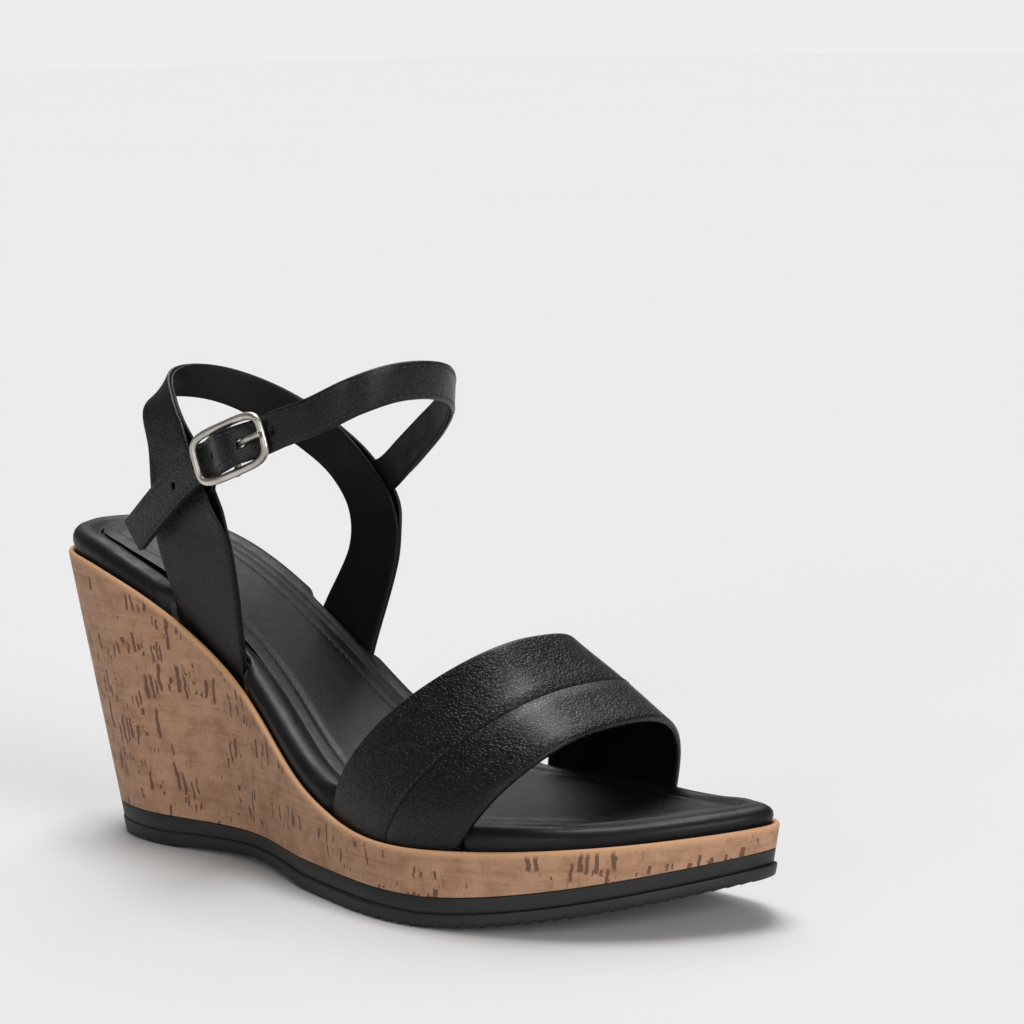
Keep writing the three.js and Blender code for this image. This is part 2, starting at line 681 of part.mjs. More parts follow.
function strapHoles() {
  const { spacing, prong, ahead, behind, radius } = HOLE;
  const holes = [];
  for (let k = -behind; k <= ahead; k += 1) {
    if (k === 0) continue;
    const { point, out } = ankleFrame(strapParameter(prong + k * spacing));
    const punch = new THREE.CylinderGeometry(radius, radius, 4 * STRAP_THICKNESS, 10);
    punch.applyQuaternion(new THREE.Quaternion().setFromUnitVectors(vec(0, 1, 0), out));
    holes.push(punch.translate(point.x, point.y, point.z));
  }
  return holes;
}

/* ------------------------------------ Assembly ------------------------------------ */

const layer = ([inner, outer]) => ({ inner: () => inner, outer: () => outer });

function slingSheet([inner, outer]) {
  const way = Math.sign(inner + outer);
  return sheet(slingSurface, {
    uSteps: 60,
    vSteps: 2,
    inner: (u, v) => inner + way * slingRoomAt(u, v),
    outer: (u, v) => outer + way * slingRoomAt(u, v),
  });
}

// The ankle strap's layers are thinned where they enter the back strap
function ankleSheet([inner, outer], holes) {
  const full = (u) => lerp(SKIVE, 1, smooth((u - 0.07) / 0.08));
  const strap = sheet(ankleSurface, {
    uSteps: 68,
    vSteps: 1,
    inner: (u) => inner * full(u),
    outer: (u) => outer * full(u),
  });
  return cut(strap, ...holes);
}

function vampSheet(stack, from, to) {
  const surface = (u, v) => vampSurface(u, lerp(from, to, v));
  return sheet(surface, { uSteps: 30, vSteps: Math.round(6 * (to - from)), ...layer(stack) });
}

// Space that the tucked ends of the vamp and the back strap need, with clearance
function strapRecesses() {
  const reach = halfStack + FIT_GAP;
  const thick = { inner: () => -reach, outer: () => reach + 1.5 };
  const slingRoom = (u, v) => slingSurface(lerp(-0.004, 1.004, u), lerp(-0.02, 1.02, v));
  const vampRoom = (u, v) => vampSurface(lerp(-0.004, 1.004, u), lerp(-0.01, 1.01, v));
  return [
    sheet(slingRoom, { uSteps: 60, vSteps: 1, ...thick }),
    sheet(vampRoom, { uSteps: 30, vSteps: 6, ...thick }),
  ];
}

const finishes = {
  rubber: { color: '#1b1b1c', roughness: 0.62 },
  core: { color: '#c9c2b4', roughness: 0.9 },
  cork: { color: '#b98a62', roughness: 0.75 },
  board: { color: '#9b7d5a', roughness: 0.9 },
  steel: { color: '#8f9498', roughness: 0.35, metalness: 1 },
  foam: { color: '#3a3a3c', roughness: 0.95 },
  lining: { color: '#202022', roughness: 0.55 },
  leather: { color: '#161617', roughness: 0.48 },
  silver: { color: '#a9a49b', roughness: 0.38, metalness: 1 },
};

const sandal = new THREE.Group();

function add(name, finish, geometry, matrix) {
  const mesh = new THREE.Mesh(geometry, new THREE.MeshStandardMaterial(finishes[finish]));
  mesh.name = name;
  if (matrix) mesh.applyMatrix4(matrix);
  sandal.add(mesh);
}

const recesses = strapRecesses();
const rivetRooms = rivetStations.map((x) => rivet(x, FIT_GAP));
const prongRoom = prongPin(FIT_GAP).applyMatrix4(buckleMatrix);
const holes = [prongRoom, ...strapHoles()];

add('outsole', 'rubber', outsole());
add('wedge_core', 'core', cut(wedgeCore(), shankBar(FIT_GAP), ...rivetRooms, ...recesses));
add('cork_wrap', 'cork', corkWrap());
add('insole_board', 'board', cut(insoleBoard(), ...rivetRooms, ...recesses));
add('steel_shank', 'steel', cut(shankBar(0), ...rivetRooms));
add('shank_rivet_rear', 'steel', rivet(rivetStations[0], 0));
add('shank_rivet_front', 'steel', rivet(rivetStations[1], 0));
add('footbed_foam', 'foam', cut(footbedFoam(), ...rivetRooms, ...recesses));
add('footbed_cover', 'lining', cut(footbedCover(), ...recesses));
add('sock_lining', 'lining', sockLining());
add('vamp_front_panel', 'leather', vampSheet(outerLayer, 0, VAMP.seamShare - 0.004));
add('vamp_rear_panel', 'leather', vampSheet(outerLayer, VAMP.seamShare + 0.004, 1));
add('vamp_lining', 'lining', vampSheet(liningLayer, 0, 1));
add('back_strap_outer', 'leather', slingSheet(outerLayer));
add('back_strap_lining', 'lining', slingSheet(liningLayer));
add('ankle_strap_outer', 'leather', ankleSheet(outerLayer, holes));
add('ankle_strap_lining', 'lining', ankleSheet(liningLayer, holes));
add('buckle_chape', 'leather', chape());
add('buckle_frame', 'silver', buckleFrame(), buckleMatrix);
add('buckle_prong', 'silver', join(prongPin(0), prongEye(0)), buckleMatrix);

export default sandal;
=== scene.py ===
"""Wedge sandal, right shoe: cork-wrapped wedge, padded footbed, toe, back and ankle straps.

Sizes are millimetres until a mesh is made. X runs from heel to toe, Y to the inner side, Z up.
"""
from __future__ import annotations

import logging
import math
from dataclasses import dataclass
from enum import Enum
from typing import Callable, Iterable, Sequence

import bmesh
import bpy
from mathutils import Matrix, Vector
from mathutils.kdtree import KDTree


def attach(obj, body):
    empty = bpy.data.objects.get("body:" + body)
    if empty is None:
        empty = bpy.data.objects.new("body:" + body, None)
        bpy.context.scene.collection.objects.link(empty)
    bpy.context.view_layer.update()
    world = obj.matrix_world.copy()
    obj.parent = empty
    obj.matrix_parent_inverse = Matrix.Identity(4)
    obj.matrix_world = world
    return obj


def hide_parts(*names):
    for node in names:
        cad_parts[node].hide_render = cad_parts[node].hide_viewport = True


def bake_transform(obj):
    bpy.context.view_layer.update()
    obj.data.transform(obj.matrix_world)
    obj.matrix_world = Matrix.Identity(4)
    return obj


LOG = logging.getLogger("sandal")
MM = 0.001

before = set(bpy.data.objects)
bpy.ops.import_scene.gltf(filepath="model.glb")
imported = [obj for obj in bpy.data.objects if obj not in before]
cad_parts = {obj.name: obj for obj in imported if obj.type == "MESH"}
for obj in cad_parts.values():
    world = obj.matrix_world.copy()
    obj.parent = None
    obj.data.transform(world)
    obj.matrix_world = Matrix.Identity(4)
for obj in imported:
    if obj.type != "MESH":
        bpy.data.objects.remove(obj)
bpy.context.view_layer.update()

Ring = list[Vector]
Row = tuple[Vector, Vector]
Surface = Callable[[float, float], Vector]
Height = Callable[[float], float]
Offset = Callable[[float, float], float]
Line = Callable[[float], tuple[Vector, Vector]]
Profile = list[tuple[float, float, bool]]
Mesh = bmesh.types.BMesh
Vertex = bmesh.types.BMVert
Piece = bpy.types.Object


# ------------------------------------------------------------------------------------------------
# Shapes shared with the CAD model
# ------------------------------------------------------------------------------------------------


class Side(Enum):
    """Which side of the foot a point lies on, as the sign of Y."""

    OUTER = -1
    INNER = 1


def lerp(a: float, b: float, t: float) -> float:
    """Goes from a to b as t goes from 0 to 1."""
    return a + (b - a) * t


def clamp(value: float, low: float = 0.0, high: float = 1.0) -> float:
    """Keeps a value between two limits."""
    return max(low, min(high, value))


def smooth(t: float) -> float:
    """Eases from 0 to 1 with no kink at either end."""
    s = clamp(t)
    return s * s * s * (s * (s * 6 - 15) + 10)


@dataclass(frozen=True)
class Spline:
    """A smooth curve through points that doesn't overshoot between close ones."""

    points: tuple[Vector, ...]
    closed: bool = False

    @property
    def spans(self) -> int:
        """Count of stretches between neighbouring points."""
        return len(self.points) - (0 if self.closed else 1)

    def neighbour(self, index: int) -> Vector:
        """Gives a point by its index, or one mirrored past an open end.

        Args:
            index: the point's number, which may lie past an open end.

        Returns:
            The point.
        """
        count = len(self.points)
        if self.closed:
            return self.points[index % count]
        if index < 0:
            return 2 * self.points[0] - self.points[1]
        if index >= count:
            return 2 * self.points[-1] - self.points[-2]
        return self.points[index]

    def inside(self, t: float) -> Vector:
        """Gives the point at t, from 0 at the start to 1 at the end.

        Args:
            t: place along the curve.

        Returns:
            The point.
        """
        place = self.spans * t
        index = min(math.floor(place), self.spans - 1)
        weight = place - index
        before, a, b, after = (self.neighbour(index + k) for k in (-1, 0, 1, 2))
        middle = (b - a).length_squared ** 0.25 or 1.0
        first = (a - before).length_squared ** 0.25 or middle
        last = (after - b).length_squared ** 0.25 or middle
        leave = ((a - before) / first - (b - before) / (first + middle) + (b - a) / middle) * middle
        reach = ((b - a) / middle - (after - a) / (middle + last) + (after - b) / last) * middle
        square = -3 * a + 3 * b - 2 * leave - reach
        cube = 2 * a - 2 * b + leave + reach
        return a + weight * (leave + weight * (square + weight * cube))

    def tangent(self, t: float) -> Vector:
        """Gives the direction of the curve at t.

        Args:
            t: place along the curve.

        Returns:
            The direction, of length 1.
        """
        step = 1e-4
        if self.closed:
            return (self.inside((t + step) % 1) - self.inside((t - step) % 1)).normalized()
        low, high = clamp(t - step), clamp(t + step)
        return (self.inside(high) - self.inside(low)).normalized()

    def length(self) -> float:
        """Measures the curve."""
        steps = [self.inside(i / 200) for i in range(201)]
        return sum((b - a).length for a, b in zip(steps, steps[1:]))

    def at(self, t: float) -> Vector:
        """Gives the point at t, and goes straight on past the ends.

        Args:
            t: place along the curve, which may lie past its ends.

        Returns:
            The point.
        """
        held = clamp(t)
        point = self.inside(held)
        if held == t:
            return point
        return point + self.tangent(held) * (t - held) * self.length()


@dataclass(frozen=True)
class PlanPoint:
    """One place on the sole's outline: on the cork's rim, under it on the floor, and the way out."""

    rim: Vector
    floor: Vector
    out: Vector


@dataclass(frozen=True)
class SoleShape:
    """The sole's outline and heights."""

    heel_back: float = 43.0
    toe_tip: float = 220.0
    toe_offset: float = 19.0
    ball_at: float = 140.0
    heel_width: float = 57.0
    waist_width: float = 56.5
    ball_width: float = 90.5
    toe_width: float = 72.0
    heel_height: float = 87.0
    ball_height: float = 21.7
    toe_height: float = 27.5
    heel_overhang: float = 22.5
    heel_taper: float = 0.18
    toe_rake: float = 6.0
    pad_end: float = 10.0
    arch_rise: float = 1.6
    arch_end: float = 85.0
    toe_spring: float = 12.0
    spring_start: float = 145.0
    heel_thickness: float = 10.0
    toe_thickness: float = 8.2

    @property
    def span(self) -> float:
        """Distance from the heel's back to the ball."""
        return self.ball_at + self.heel_back

    def rim_height(self, x: float) -> float:
        """Height of the cork's rim at a station.

        Args:
            x: the station.

        Returns:
            The height.
        """
        heelward = (self.ball_at - x) / self.span
        toeward = clamp((x - self.ball_at) / (self.toe_tip - self.ball_at))
        wedge = (self.heel_height - self.ball_height) * smooth(heelward)
        return self.ball_height + wedge + (self.toe_height - self.ball_height) * toeward**1.4

    def spring(self, x: float) -> float:
        """How far the toe lifts off the floor at a station."""
        along = clamp((x - self.spring_start) / (self.toe_tip - self.spring_start))
        return self.toe_spring * along**1.5

    def tread_height(self, x: float) -> float:
        """Height of the tread's underside at a station.

        Args:
            x: the station.

        Returns:
            The height.
        """
        arch = clamp((x - self.pad_end) / (self.arch_end - self.pad_end))
        rise = self.arch_rise * math.sin(math.pi * arch) ** 0.5 if arch < 1 else 0.0
        return rise + self.spring(x)

    def outsole_top(self, x: float) -> float:
        """Height of the line between outsole and cork at a station."""
        along = clamp((x + self.heel_back) / (self.toe_tip + self.heel_back))
        return lerp(self.heel_thickness, self.toe_thickness, along) + self.spring(x)

    def stations(self) -> list[tuple[float, float, float]]:
        """Lists the rim's stations from heel to toe, as place, outer half width and inner half width.

        Returns:
            The stations, from heel to toe.
        """
        both = self.waist_width + self.ball_width
        return [
            (-self.heel_back * 0.74, self.heel_width * 0.36, self.heel_width * 0.36),
            (-self.heel_back * 0.2, self.heel_width * 0.5, self.heel_width * 0.48),
            (self.ball_at * 0.33, self.waist_width * 0.445, self.waist_width * 0.555),
            (self.ball_at * 0.67, both * 0.269, both * 0.213),
            (self.ball_at, self.ball_width * 0.533, self.ball_width * 0.467),
            (lerp(self.ball_at, self.toe_tip, 0.49), self.toe_width * 0.507, self.toe_width * 0.493),
            (lerp(self.ball_at, self.toe_tip, 0.82), self.toe_width * 0.19, self.toe_width * 0.44),
        ]

    def floor_point(self, rim: Vector) -> Vector:
        """Gives the place on the floor under a rim point, drawn in under the heel and the toe.

        Args:
            rim: a point of the rim.

        Returns:
            The point on the floor.
        """
        share = clamp((self.ball_at - rim.x) / self.span) ** 2
        rake = self.toe_rake * clamp((rim.x - self.ball_at) / (self.toe_tip - self.ball_at)) ** 2
        return Vector((rim.x + self.heel_overhang * share - rake, rim.y * (1 - self.heel_taper * share), 0))

    def plan(self, count: int) -> list[PlanPoint]:
        """Samples the outline, from the heel along the outer side to the toe and back on the inner side.

        Args:
            count: how many points, an even number.

        Returns:
            The outline's points.
        """
        rows = self.stations()
        outer = [Vector((x, -width, 0)) for x, width, _ in rows]
        inner = [Vector((x, width, 0)) for x, _, width in reversed(rows)]
        heel, toe = Vector((-self.heel_back, 0, 0)), Vector((self.toe_tip, self.toe_offset, 0))
        control = [heel, *outer, toe, *inner]
        rim = Spline(tuple(control), closed=True)
        floor = Spline(tuple(self.floor_point(p) for p in control), closed=True)
        plan = []
        for i in range(count):
            t = i / count
            way = rim.tangent(t)
            plan.append(PlanPoint(rim.inside(t), floor.inside(t), Vector((way.y, -way.x, 0))))
        return plan


SOLE = SoleShape()
PLAN_COUNT = 288
PLAN = SOLE.plan(PLAN_COUNT)


def wall_point(place: PlanPoint, height: float, inset: float) -> Vector:
    """Gives the point on the sole's wall at a height, moved inwards.

    Args:
        place: the place on the outline.
        height: the height.
        inset: how far inwards.

    Returns:
        The point.
    """
    share = height / SOLE.rim_height(place.rim.x)
    point = place.floor.lerp(place.rim, share) - place.out * inset
    return Vector((point.x, point.y, height))


def wall_ring(height: Height, inset: float) -> Ring:
    """Gives the ring round the sole's wall where a height meets it."""
    return [wall_point(place, height(place.rim.x), inset) for place in PLAN]


def above_rim(rise: float) -> Height:
    """Gives the height that lies a set rise above the cork's rim."""
    return lambda x: SOLE.rim_height(x) + rise


def rim_y(x: float, side: Side, inset: float) -> float:
    """Finds how far out the rim lies at a station.

    Args:
        x: the station.
        side: the side of the foot.
        inset: how far inwards from the rim.

    Returns:
        The point's Y.
    """
    half = PLAN[: PLAN_COUNT // 2] if side is Side.OUTER else PLAN[: PLAN_COUNT // 2 : -1]
    edge = [place.rim - place.out * inset for place in half]
    for a, b in zip(edge, edge[1:]):
        if a.x <= x <= b.x:
            return lerp(a.y, b.y, (x - a.x) / (b.x - a.x))
    raise ValueError(f"no rim at {x}")


# ------------------------------------------------------------------------------------------------
# Mesh making
# ------------------------------------------------------------------------------------------------


class Ends(Enum):
    """How the first and last ring of a loft are closed."""

    FILLED = "filled"
    STRIPS = "strips"
    JOINED = "joined"


def link(name: str, mesh: bpy.types.Mesh) -> Piece:
    """Puts a mesh into the scene as an object at the origin.

    Args:
        name: the object's name.
        mesh: its mesh.

    Returns:
        The object.
    """
    piece = bpy.data.objects.new(name, mesh)
    bpy.context.scene.collection.objects.link(piece)
    return piece


def first_ring(bm: Mesh, places: Ring) -> list[Vertex]:
    """Makes a ring of edges and moves its corners to their places.

    Args:
        bm: the mesh.
        places: where the corners go.

    Returns:
        The corners, in order.
    """
    bmesh.ops.create_circle(bm, cap_ends=False, radius=1, segments=len(places))
    ring = list(bm.verts)
    for vertex, place in zip(ring, places):
        vertex.co = place * MM
    return ring


def next_ring(bm: Mesh, ring: list[Vertex], places: Ring) -> list[Vertex]:
    """Extrudes a ring and moves the new corners to their places.

    Args:
        bm: the mesh.
        ring: the corners to extrude from.
        places: where the new corners go.

    Returns:
        The new corners, in order.
    """
    edges = [bm.edges.get((a, b)) for a, b in zip(ring, ring[1:] + ring[:1])]
    made = bmesh.ops.extrude_edge_only(bm, edges=edges)["geom"]
    fresh = {item for item in made if isinstance(item, Vertex)}
    following = []
    for vertex in ring:
        partner = next(e.other_vert(vertex) for e in vertex.link_edges if e.other_vert(vertex) in fresh)
        following.append(partner)
    for vertex, place in zip(following, places):
        vertex.co = place * MM
    return following


def close_with_strips(bm: Mesh, ring: list[Vertex]) -> None:
    """Fills a long ring and cuts the face into strips that run straight across it.

    Args:
        bm: the mesh.
        ring: the corners round the opening.
    """
    bmesh.ops.contextual_create(bm, geom=[bm.edges.get((a, b)) for a, b in zip(ring, ring[1:] + ring[:1])])
    half = len(ring) // 2
    for i in range(1, half):
        bmesh.ops.connect_vert_pair(bm, verts=[ring[i], ring[-i]])


def finish_mesh(bm: Mesh, name: str, sharp_degrees: float = 40.0) -> Piece:
    """Turns the faces outwards, smooths the shading and makes the object.

    Args:
        bm: the mesh under construction, which is freed.
        name: the object's name.
        sharp_degrees: edges that turn more than this stay sharp.

    Returns:
        The new object.
    """
    bmesh.ops.recalc_face_normals(bm, faces=bm.faces)
    for face in bm.faces:
        face.smooth = True
    for edge in bm.edges:
        edge.smooth = edge.calc_face_angle(0.0) < math.radians(sharp_degrees)
    mesh = bpy.data.meshes.new(name)
    bm.to_mesh(mesh)
    bm.free()
    return link(name, mesh)


def loft(name: str, rings: Sequence[Ring], ends: Ends, sharp_degrees: float = 40.0) -> Piece:
    """Makes a closed piece by extruding one ring through a row of others.

    Args:
        name: the object's name.
        rings: the rings, all with as many points.
        ends: how the first and last ring are closed.
        sharp_degrees: edges that turn more than this stay sharp.

    Returns:
        The new object.
    """
    bm = bmesh.new()
    start = first_ring(bm, rings[0])
    ring = start
    for places in rings[1:]:
        ring = next_ring(bm, ring, places)
    if ends is Ends.JOINED:
        borders = [e for e in bm.edges if e.is_boundary]
        bmesh.ops.bridge_loops(bm, edges=borders)
    elif ends is Ends.STRIPS:
        close_with_strips(bm, start)
        close_with_strips(bm, ring)
    else:
        bmesh.ops.holes_fill(bm, edges=[e for e in bm.edges if e.is_boundary], sides=0)
    return finish_mesh(bm, name, sharp_degrees)


def freeze(piece: Piece) -> None:
    """Applies a piece's modifiers to its mesh.

    Args:
        piece: the piece.
    """
    graph = bpy.context.evaluated_depsgraph_get()
    mesh = bpy.data.meshes.new_from_object(piece.evaluated_get(graph))
    piece.modifiers.clear()
    piece.data = mesh


def cad_copy(node: str, name: str) -> Piece:
    """Makes a merged copy of a CAD node's mesh.

    Args:
        node: the CAD node.
        name: the copy's name.

    Returns:
        The copy.
    """
    bm = bmesh.new()
    bm.from_mesh(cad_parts[node].data)
    bmesh.ops.remove_doubles(bm, verts=bm.verts, dist=2e-6)
    return finish_mesh(bm, name)


def melt(piece: Piece, voxel: float, rounds: int) -> None:
    """Rounds every edge of a piece, as casting or padding does.

    Args:
        piece: the piece.
        voxel: size of the new mesh's cells.
        rounds: how many times the surface is smoothed.
    """
    remesh = piece.modifiers.new("cells", "REMESH")
    remesh.mode = "VOXEL"
    remesh.voxel_size = voxel * MM
    remesh.use_smooth_shade = True
    soften = piece.modifiers.new("soften", "SMOOTH")
    soften.factor = 0.5
    soften.iterations = rounds
    freeze(piece)


def punch(piece: Piece, cutter: Piece) -> None:
    """Cuts one piece's shape out of another and removes the cutter.

    Args:
        piece: the piece that is cut.
        cutter: the shape that is cut out.
    """
    cut = piece.modifiers.new("punch", "BOOLEAN")
    cut.operation = "DIFFERENCE"
    cut.object = cutter
    freeze(piece)
    bpy.data.objects.remove(cutter)


def rod(bm: Mesh, middle: Vector, way: Vector, radius: float, length: float, sides: int) -> None:
    """Adds a round rod to a mesh.

    Args:
        bm: the mesh.
        middle: the rod's middle.
        way: the way it points.
        radius: its radius.
        length: its length.
        sides: how many sides stand for its round.
    """
    turn = way.to_track_quat("Z", "Y").to_matrix().to_4x4()
    place = Matrix.Scale(MM, 4) @ Matrix.Translation(middle) @ turn
    bmesh.ops.create_cone(bm, cap_ends=True, segments=sides, radius1=radius, radius2=radius, depth=length,
                          matrix=place)


def mark(piece: Piece, name: str, value: Callable[[Vector], float]) -> None:
    """Stores a number on each corner of a piece for its material to read."""
    layer = piece.data.attributes.new(name, "FLOAT", "POINT")
    layer.data.foreach_set("value", [value(v.co / MM) for v in piece.data.vertices])


# ------------------------------------------------------------------------------------------------
# Straps
# ------------------------------------------------------------------------------------------------

OUTER_LEATHER = 1.1
LINING_LEATHER = 0.9
LAYER_GAP = 0.3
HALF_STACK = (OUTER_LEATHER + LAYER_GAP + LINING_LEATHER) / 2
CORE_INSET = 2.3
STRAP_INSET = CORE_INSET + HALF_STACK + 0.5


def normal_of(surface: Surface, u: float, v: float) -> Vector:
    """Gives the way the grain side of a surface faces.

    Args:
        surface: the surface.
        u: place along it.
        v: place across it.

    Returns:
        The direction, of length 1.
    """
    step = 1e-3
    along = surface(u + step, v) - surface(u - step, v)
    across = surface(u, v + step) - surface(u, v - step)
    return along.cross(across).normalized()


@dataclass(frozen=True)
class Strip:
    """A layer of leather on a strap's middle surface, between two shares of its width.

    Args:
        surface: the strap's middle surface.
        start: share of the width where the layer starts.
        end: share of the width where it ends.
        steps: count of sections along it.
        lift: extra height at u and v, where the layers part.
        thinning: share of the full thickness at u.
    """

    surface: Surface
    start: float = 0.0
    end: float = 1.0
    steps: int = 200
    lift: Offset = lambda u, v: 0.0
    thinning: Height = lambda u: 1.0

    def width(self, u: float) -> float:
        """Measures the layer across at u."""
        return (self.surface(u, self.end) - self.surface(u, self.start)).length

    def place(self, u: float, inwards: float, height: float, from_start: bool = True) -> Vector:
        """Gives the point at a distance from an edge and a height over the middle surface.

        Args:
            u: place along the strap.
            inwards: distance from the edge.
            height: height over the middle surface.
            from_start: whether the start edge is meant.

        Returns:
            The point.
        """
        share = inwards / self.width(u)
        v = lerp(self.start, self.end, share if from_start else 1 - share)
        over = height * self.thinning(u) + self.lift(u, v)
        return self.surface(u, v) + normal_of(self.surface, u, v) * over

    def section(self, u: float, profile: Profile) -> Ring:
        """Gives the layer's section at u from a profile of distance, height and edge."""
        return [self.place(u, inwards, height, from_start) for inwards, height, from_start in profile]

    def solid(self, name: str, profile: Profile) -> Piece:
        """Sweeps a section along the strap."""
        rings = [self.section(i / self.steps, profile) for i in range(self.steps + 1)]
        return loft(name, rings, Ends.FILLED, 50.0)


def arc(radius: float, centre: float, from_start: bool, steps: int = 6, bulge: float = 1.0) -> Profile:
    """Gives a rounded edge from its underside over its outside to its top, seen at the start edge.

    Args:
        radius: half the layer's thickness.
        centre: height of its middle.
        from_start: whether the start edge is meant.
        steps: how many flats the edge has.
        bulge: how far it swells, as a share of the radius.

    Returns:
        The edge's points.
    """
    turn = [math.pi * (1.5 - i / steps) for i in range(steps + 1)]
    half = [(radius * bulge * (1 + math.cos(a)), centre + radius * math.sin(a), from_start) for a in turn]
    return half if from_start else half[::-1]


def plain_profile(low: float, high: float, width: float, crown: float = 0.0) -> Profile:
    """Gives the section of a plain cut layer with softened edges.

    Args:
        low: height of its underside.
        high: height of its top at the edges.
        width: the narrowest width of the layer, which the spacing of the points keeps to.
        crown: how much higher the middle is.

    Returns:
        The section's points.
    """
    radius = (high - low) / 2
    centre = (high + low) / 2
    inner = [width * share for share in (0.2, 0.35)]
    top_start = [(s, high + crown * (1 if s > width * 0.3 else 0.7), True) for s in inner]
    top_end = [(s, high + crown * (1 if s > width * 0.3 else 0.7), False) for s in reversed(inner)]
    return [*arc(radius, centre, True), *top_start, *top_end, *arc(radius, centre, False),
            *[(s, low, False) for s in inner], *[(s, low, True) for s in reversed(inner)]]


def folded_profile(low: float, high: float, under: float, width: float, lip: float,
                   fold_start: bool = True, fold_end: bool = True) -> Profile:
    """Gives the section of a layer whose edges are folded under.

    Args:
        low: height of the fold's underside.
        high: height of the grain side.
        under: height of the layer's underside between the folds.
        width: the narrowest width of the layer.
        lip: how far each fold reaches in.
        fold_start: whether the start edge is folded.
        fold_end: whether the end edge is folded.

    Returns:
        The section's points.
    """
    inner = [width * share for share in (0.2, 0.35, 0.45)]
    start_low, end_low = (low if fold_start else under), (low if fold_end else under)
    start = arc((high - start_low) / 2, (high + start_low) / 2, True, 8, 1.0 if fold_start else 0.4)
    end = arc((high - end_low) / 2, (high + end_low) / 2, False, 8, 1.0 if fold_end else 0.4)
    top = [(s, high, True) for s in inner] + [(s, high, False) for s in reversed(inner)]
    below_end = [(lip * 0.9, end_low, False), (lip, under, False)]
    below_start = [(lip, under, True), (lip * 0.9, start_low, True)]
    return [*start, *top, *end, *below_end, *below_start]


TUCK = 8.0


def rim_edge(x: float, side: Side, rise: float, extra: float = 0.0) -> Vector:
    """Gives the middle of a strap where it leaves the rim.

    Args:
        x: the station.
        side: the side of the foot.
        rise: height over the rim.
        extra: how much further inwards.

    Returns:
        The point.
    """
    return Vector((x, rim_y(x, side, STRAP_INSET + extra), SOLE.rim_height(x) + rise))


@dataclass(frozen=True)
class VampShape:
    """The toe strap's middle surface.

    u runs from the outer side over the foot to the inner side, and v from the front edge to the rear edge.
    """

    rear_outer: float = 104.5
    front_outer: float = 157.5
    rear_inner: float = 120.0
    front_inner: float = 170.0
    rear_crest: float = 149.5
    front_crest: float = 181.5
    rear_rise: float = 51.5
    front_rise: float = 31.0
    seam_share: float = 0.48
    outer_power: float = 2.3
    inner_power: float = 2.9
    tucked: float = 2 / 30

    def __call__(self, u: float, v: float) -> Vector:
        """Gives a point of the surface.

        Args:
            u: place along the strap.
            v: place across it.

        Returns:
            The point.
        """
        outer = rim_edge(lerp(self.front_outer, self.rear_outer, v), Side.OUTER, 0)
        inner = rim_edge(lerp(self.front_inner, self.rear_inner, v), Side.INNER, 0)
        arch = (u - self.tucked) / (1 - 2 * self.tucked)
        angle = math.pi * clamp(arch)
        power = 2 / (self.outer_power if arch < 0.5 else self.inner_power)
        lift = max(math.sin(angle), 0.0) ** power
        turn = math.cos(angle)
        point = outer.lerp(inner, (1 - math.copysign(abs(turn) ** power, turn)) / 2)
        crest = lerp(self.front_crest, self.rear_crest, v)
        point.x += (crest - point.x) * max(math.sin(angle), 0.0) ** lerp(1, 1.5, v)
        point.z += lerp(self.front_rise, self.rear_rise, v) * lift
        below = max(self.tucked - u, u - 1 + self.tucked, 0) / self.tucked
        point.z -= TUCK * below
        return point


VAMP = VampShape()
SEAT = SOLE.rim_height(0)
HALF_ANKLE = 31.0


def ankle(x: float, side: float, rise: float) -> Vector:
    """Gives a place by its share of the ankle's half width and its height over the heel seat."""
    return Vector((x, side * HALF_ANKLE, SEAT + rise))


ENTRY = 0.15
SKIVE = 0.45
CHAPE_THICKNESS = 0.7
SLING_OUTER = (21.5, 49.0)
SLING_INNER = (32.0, 52.5)


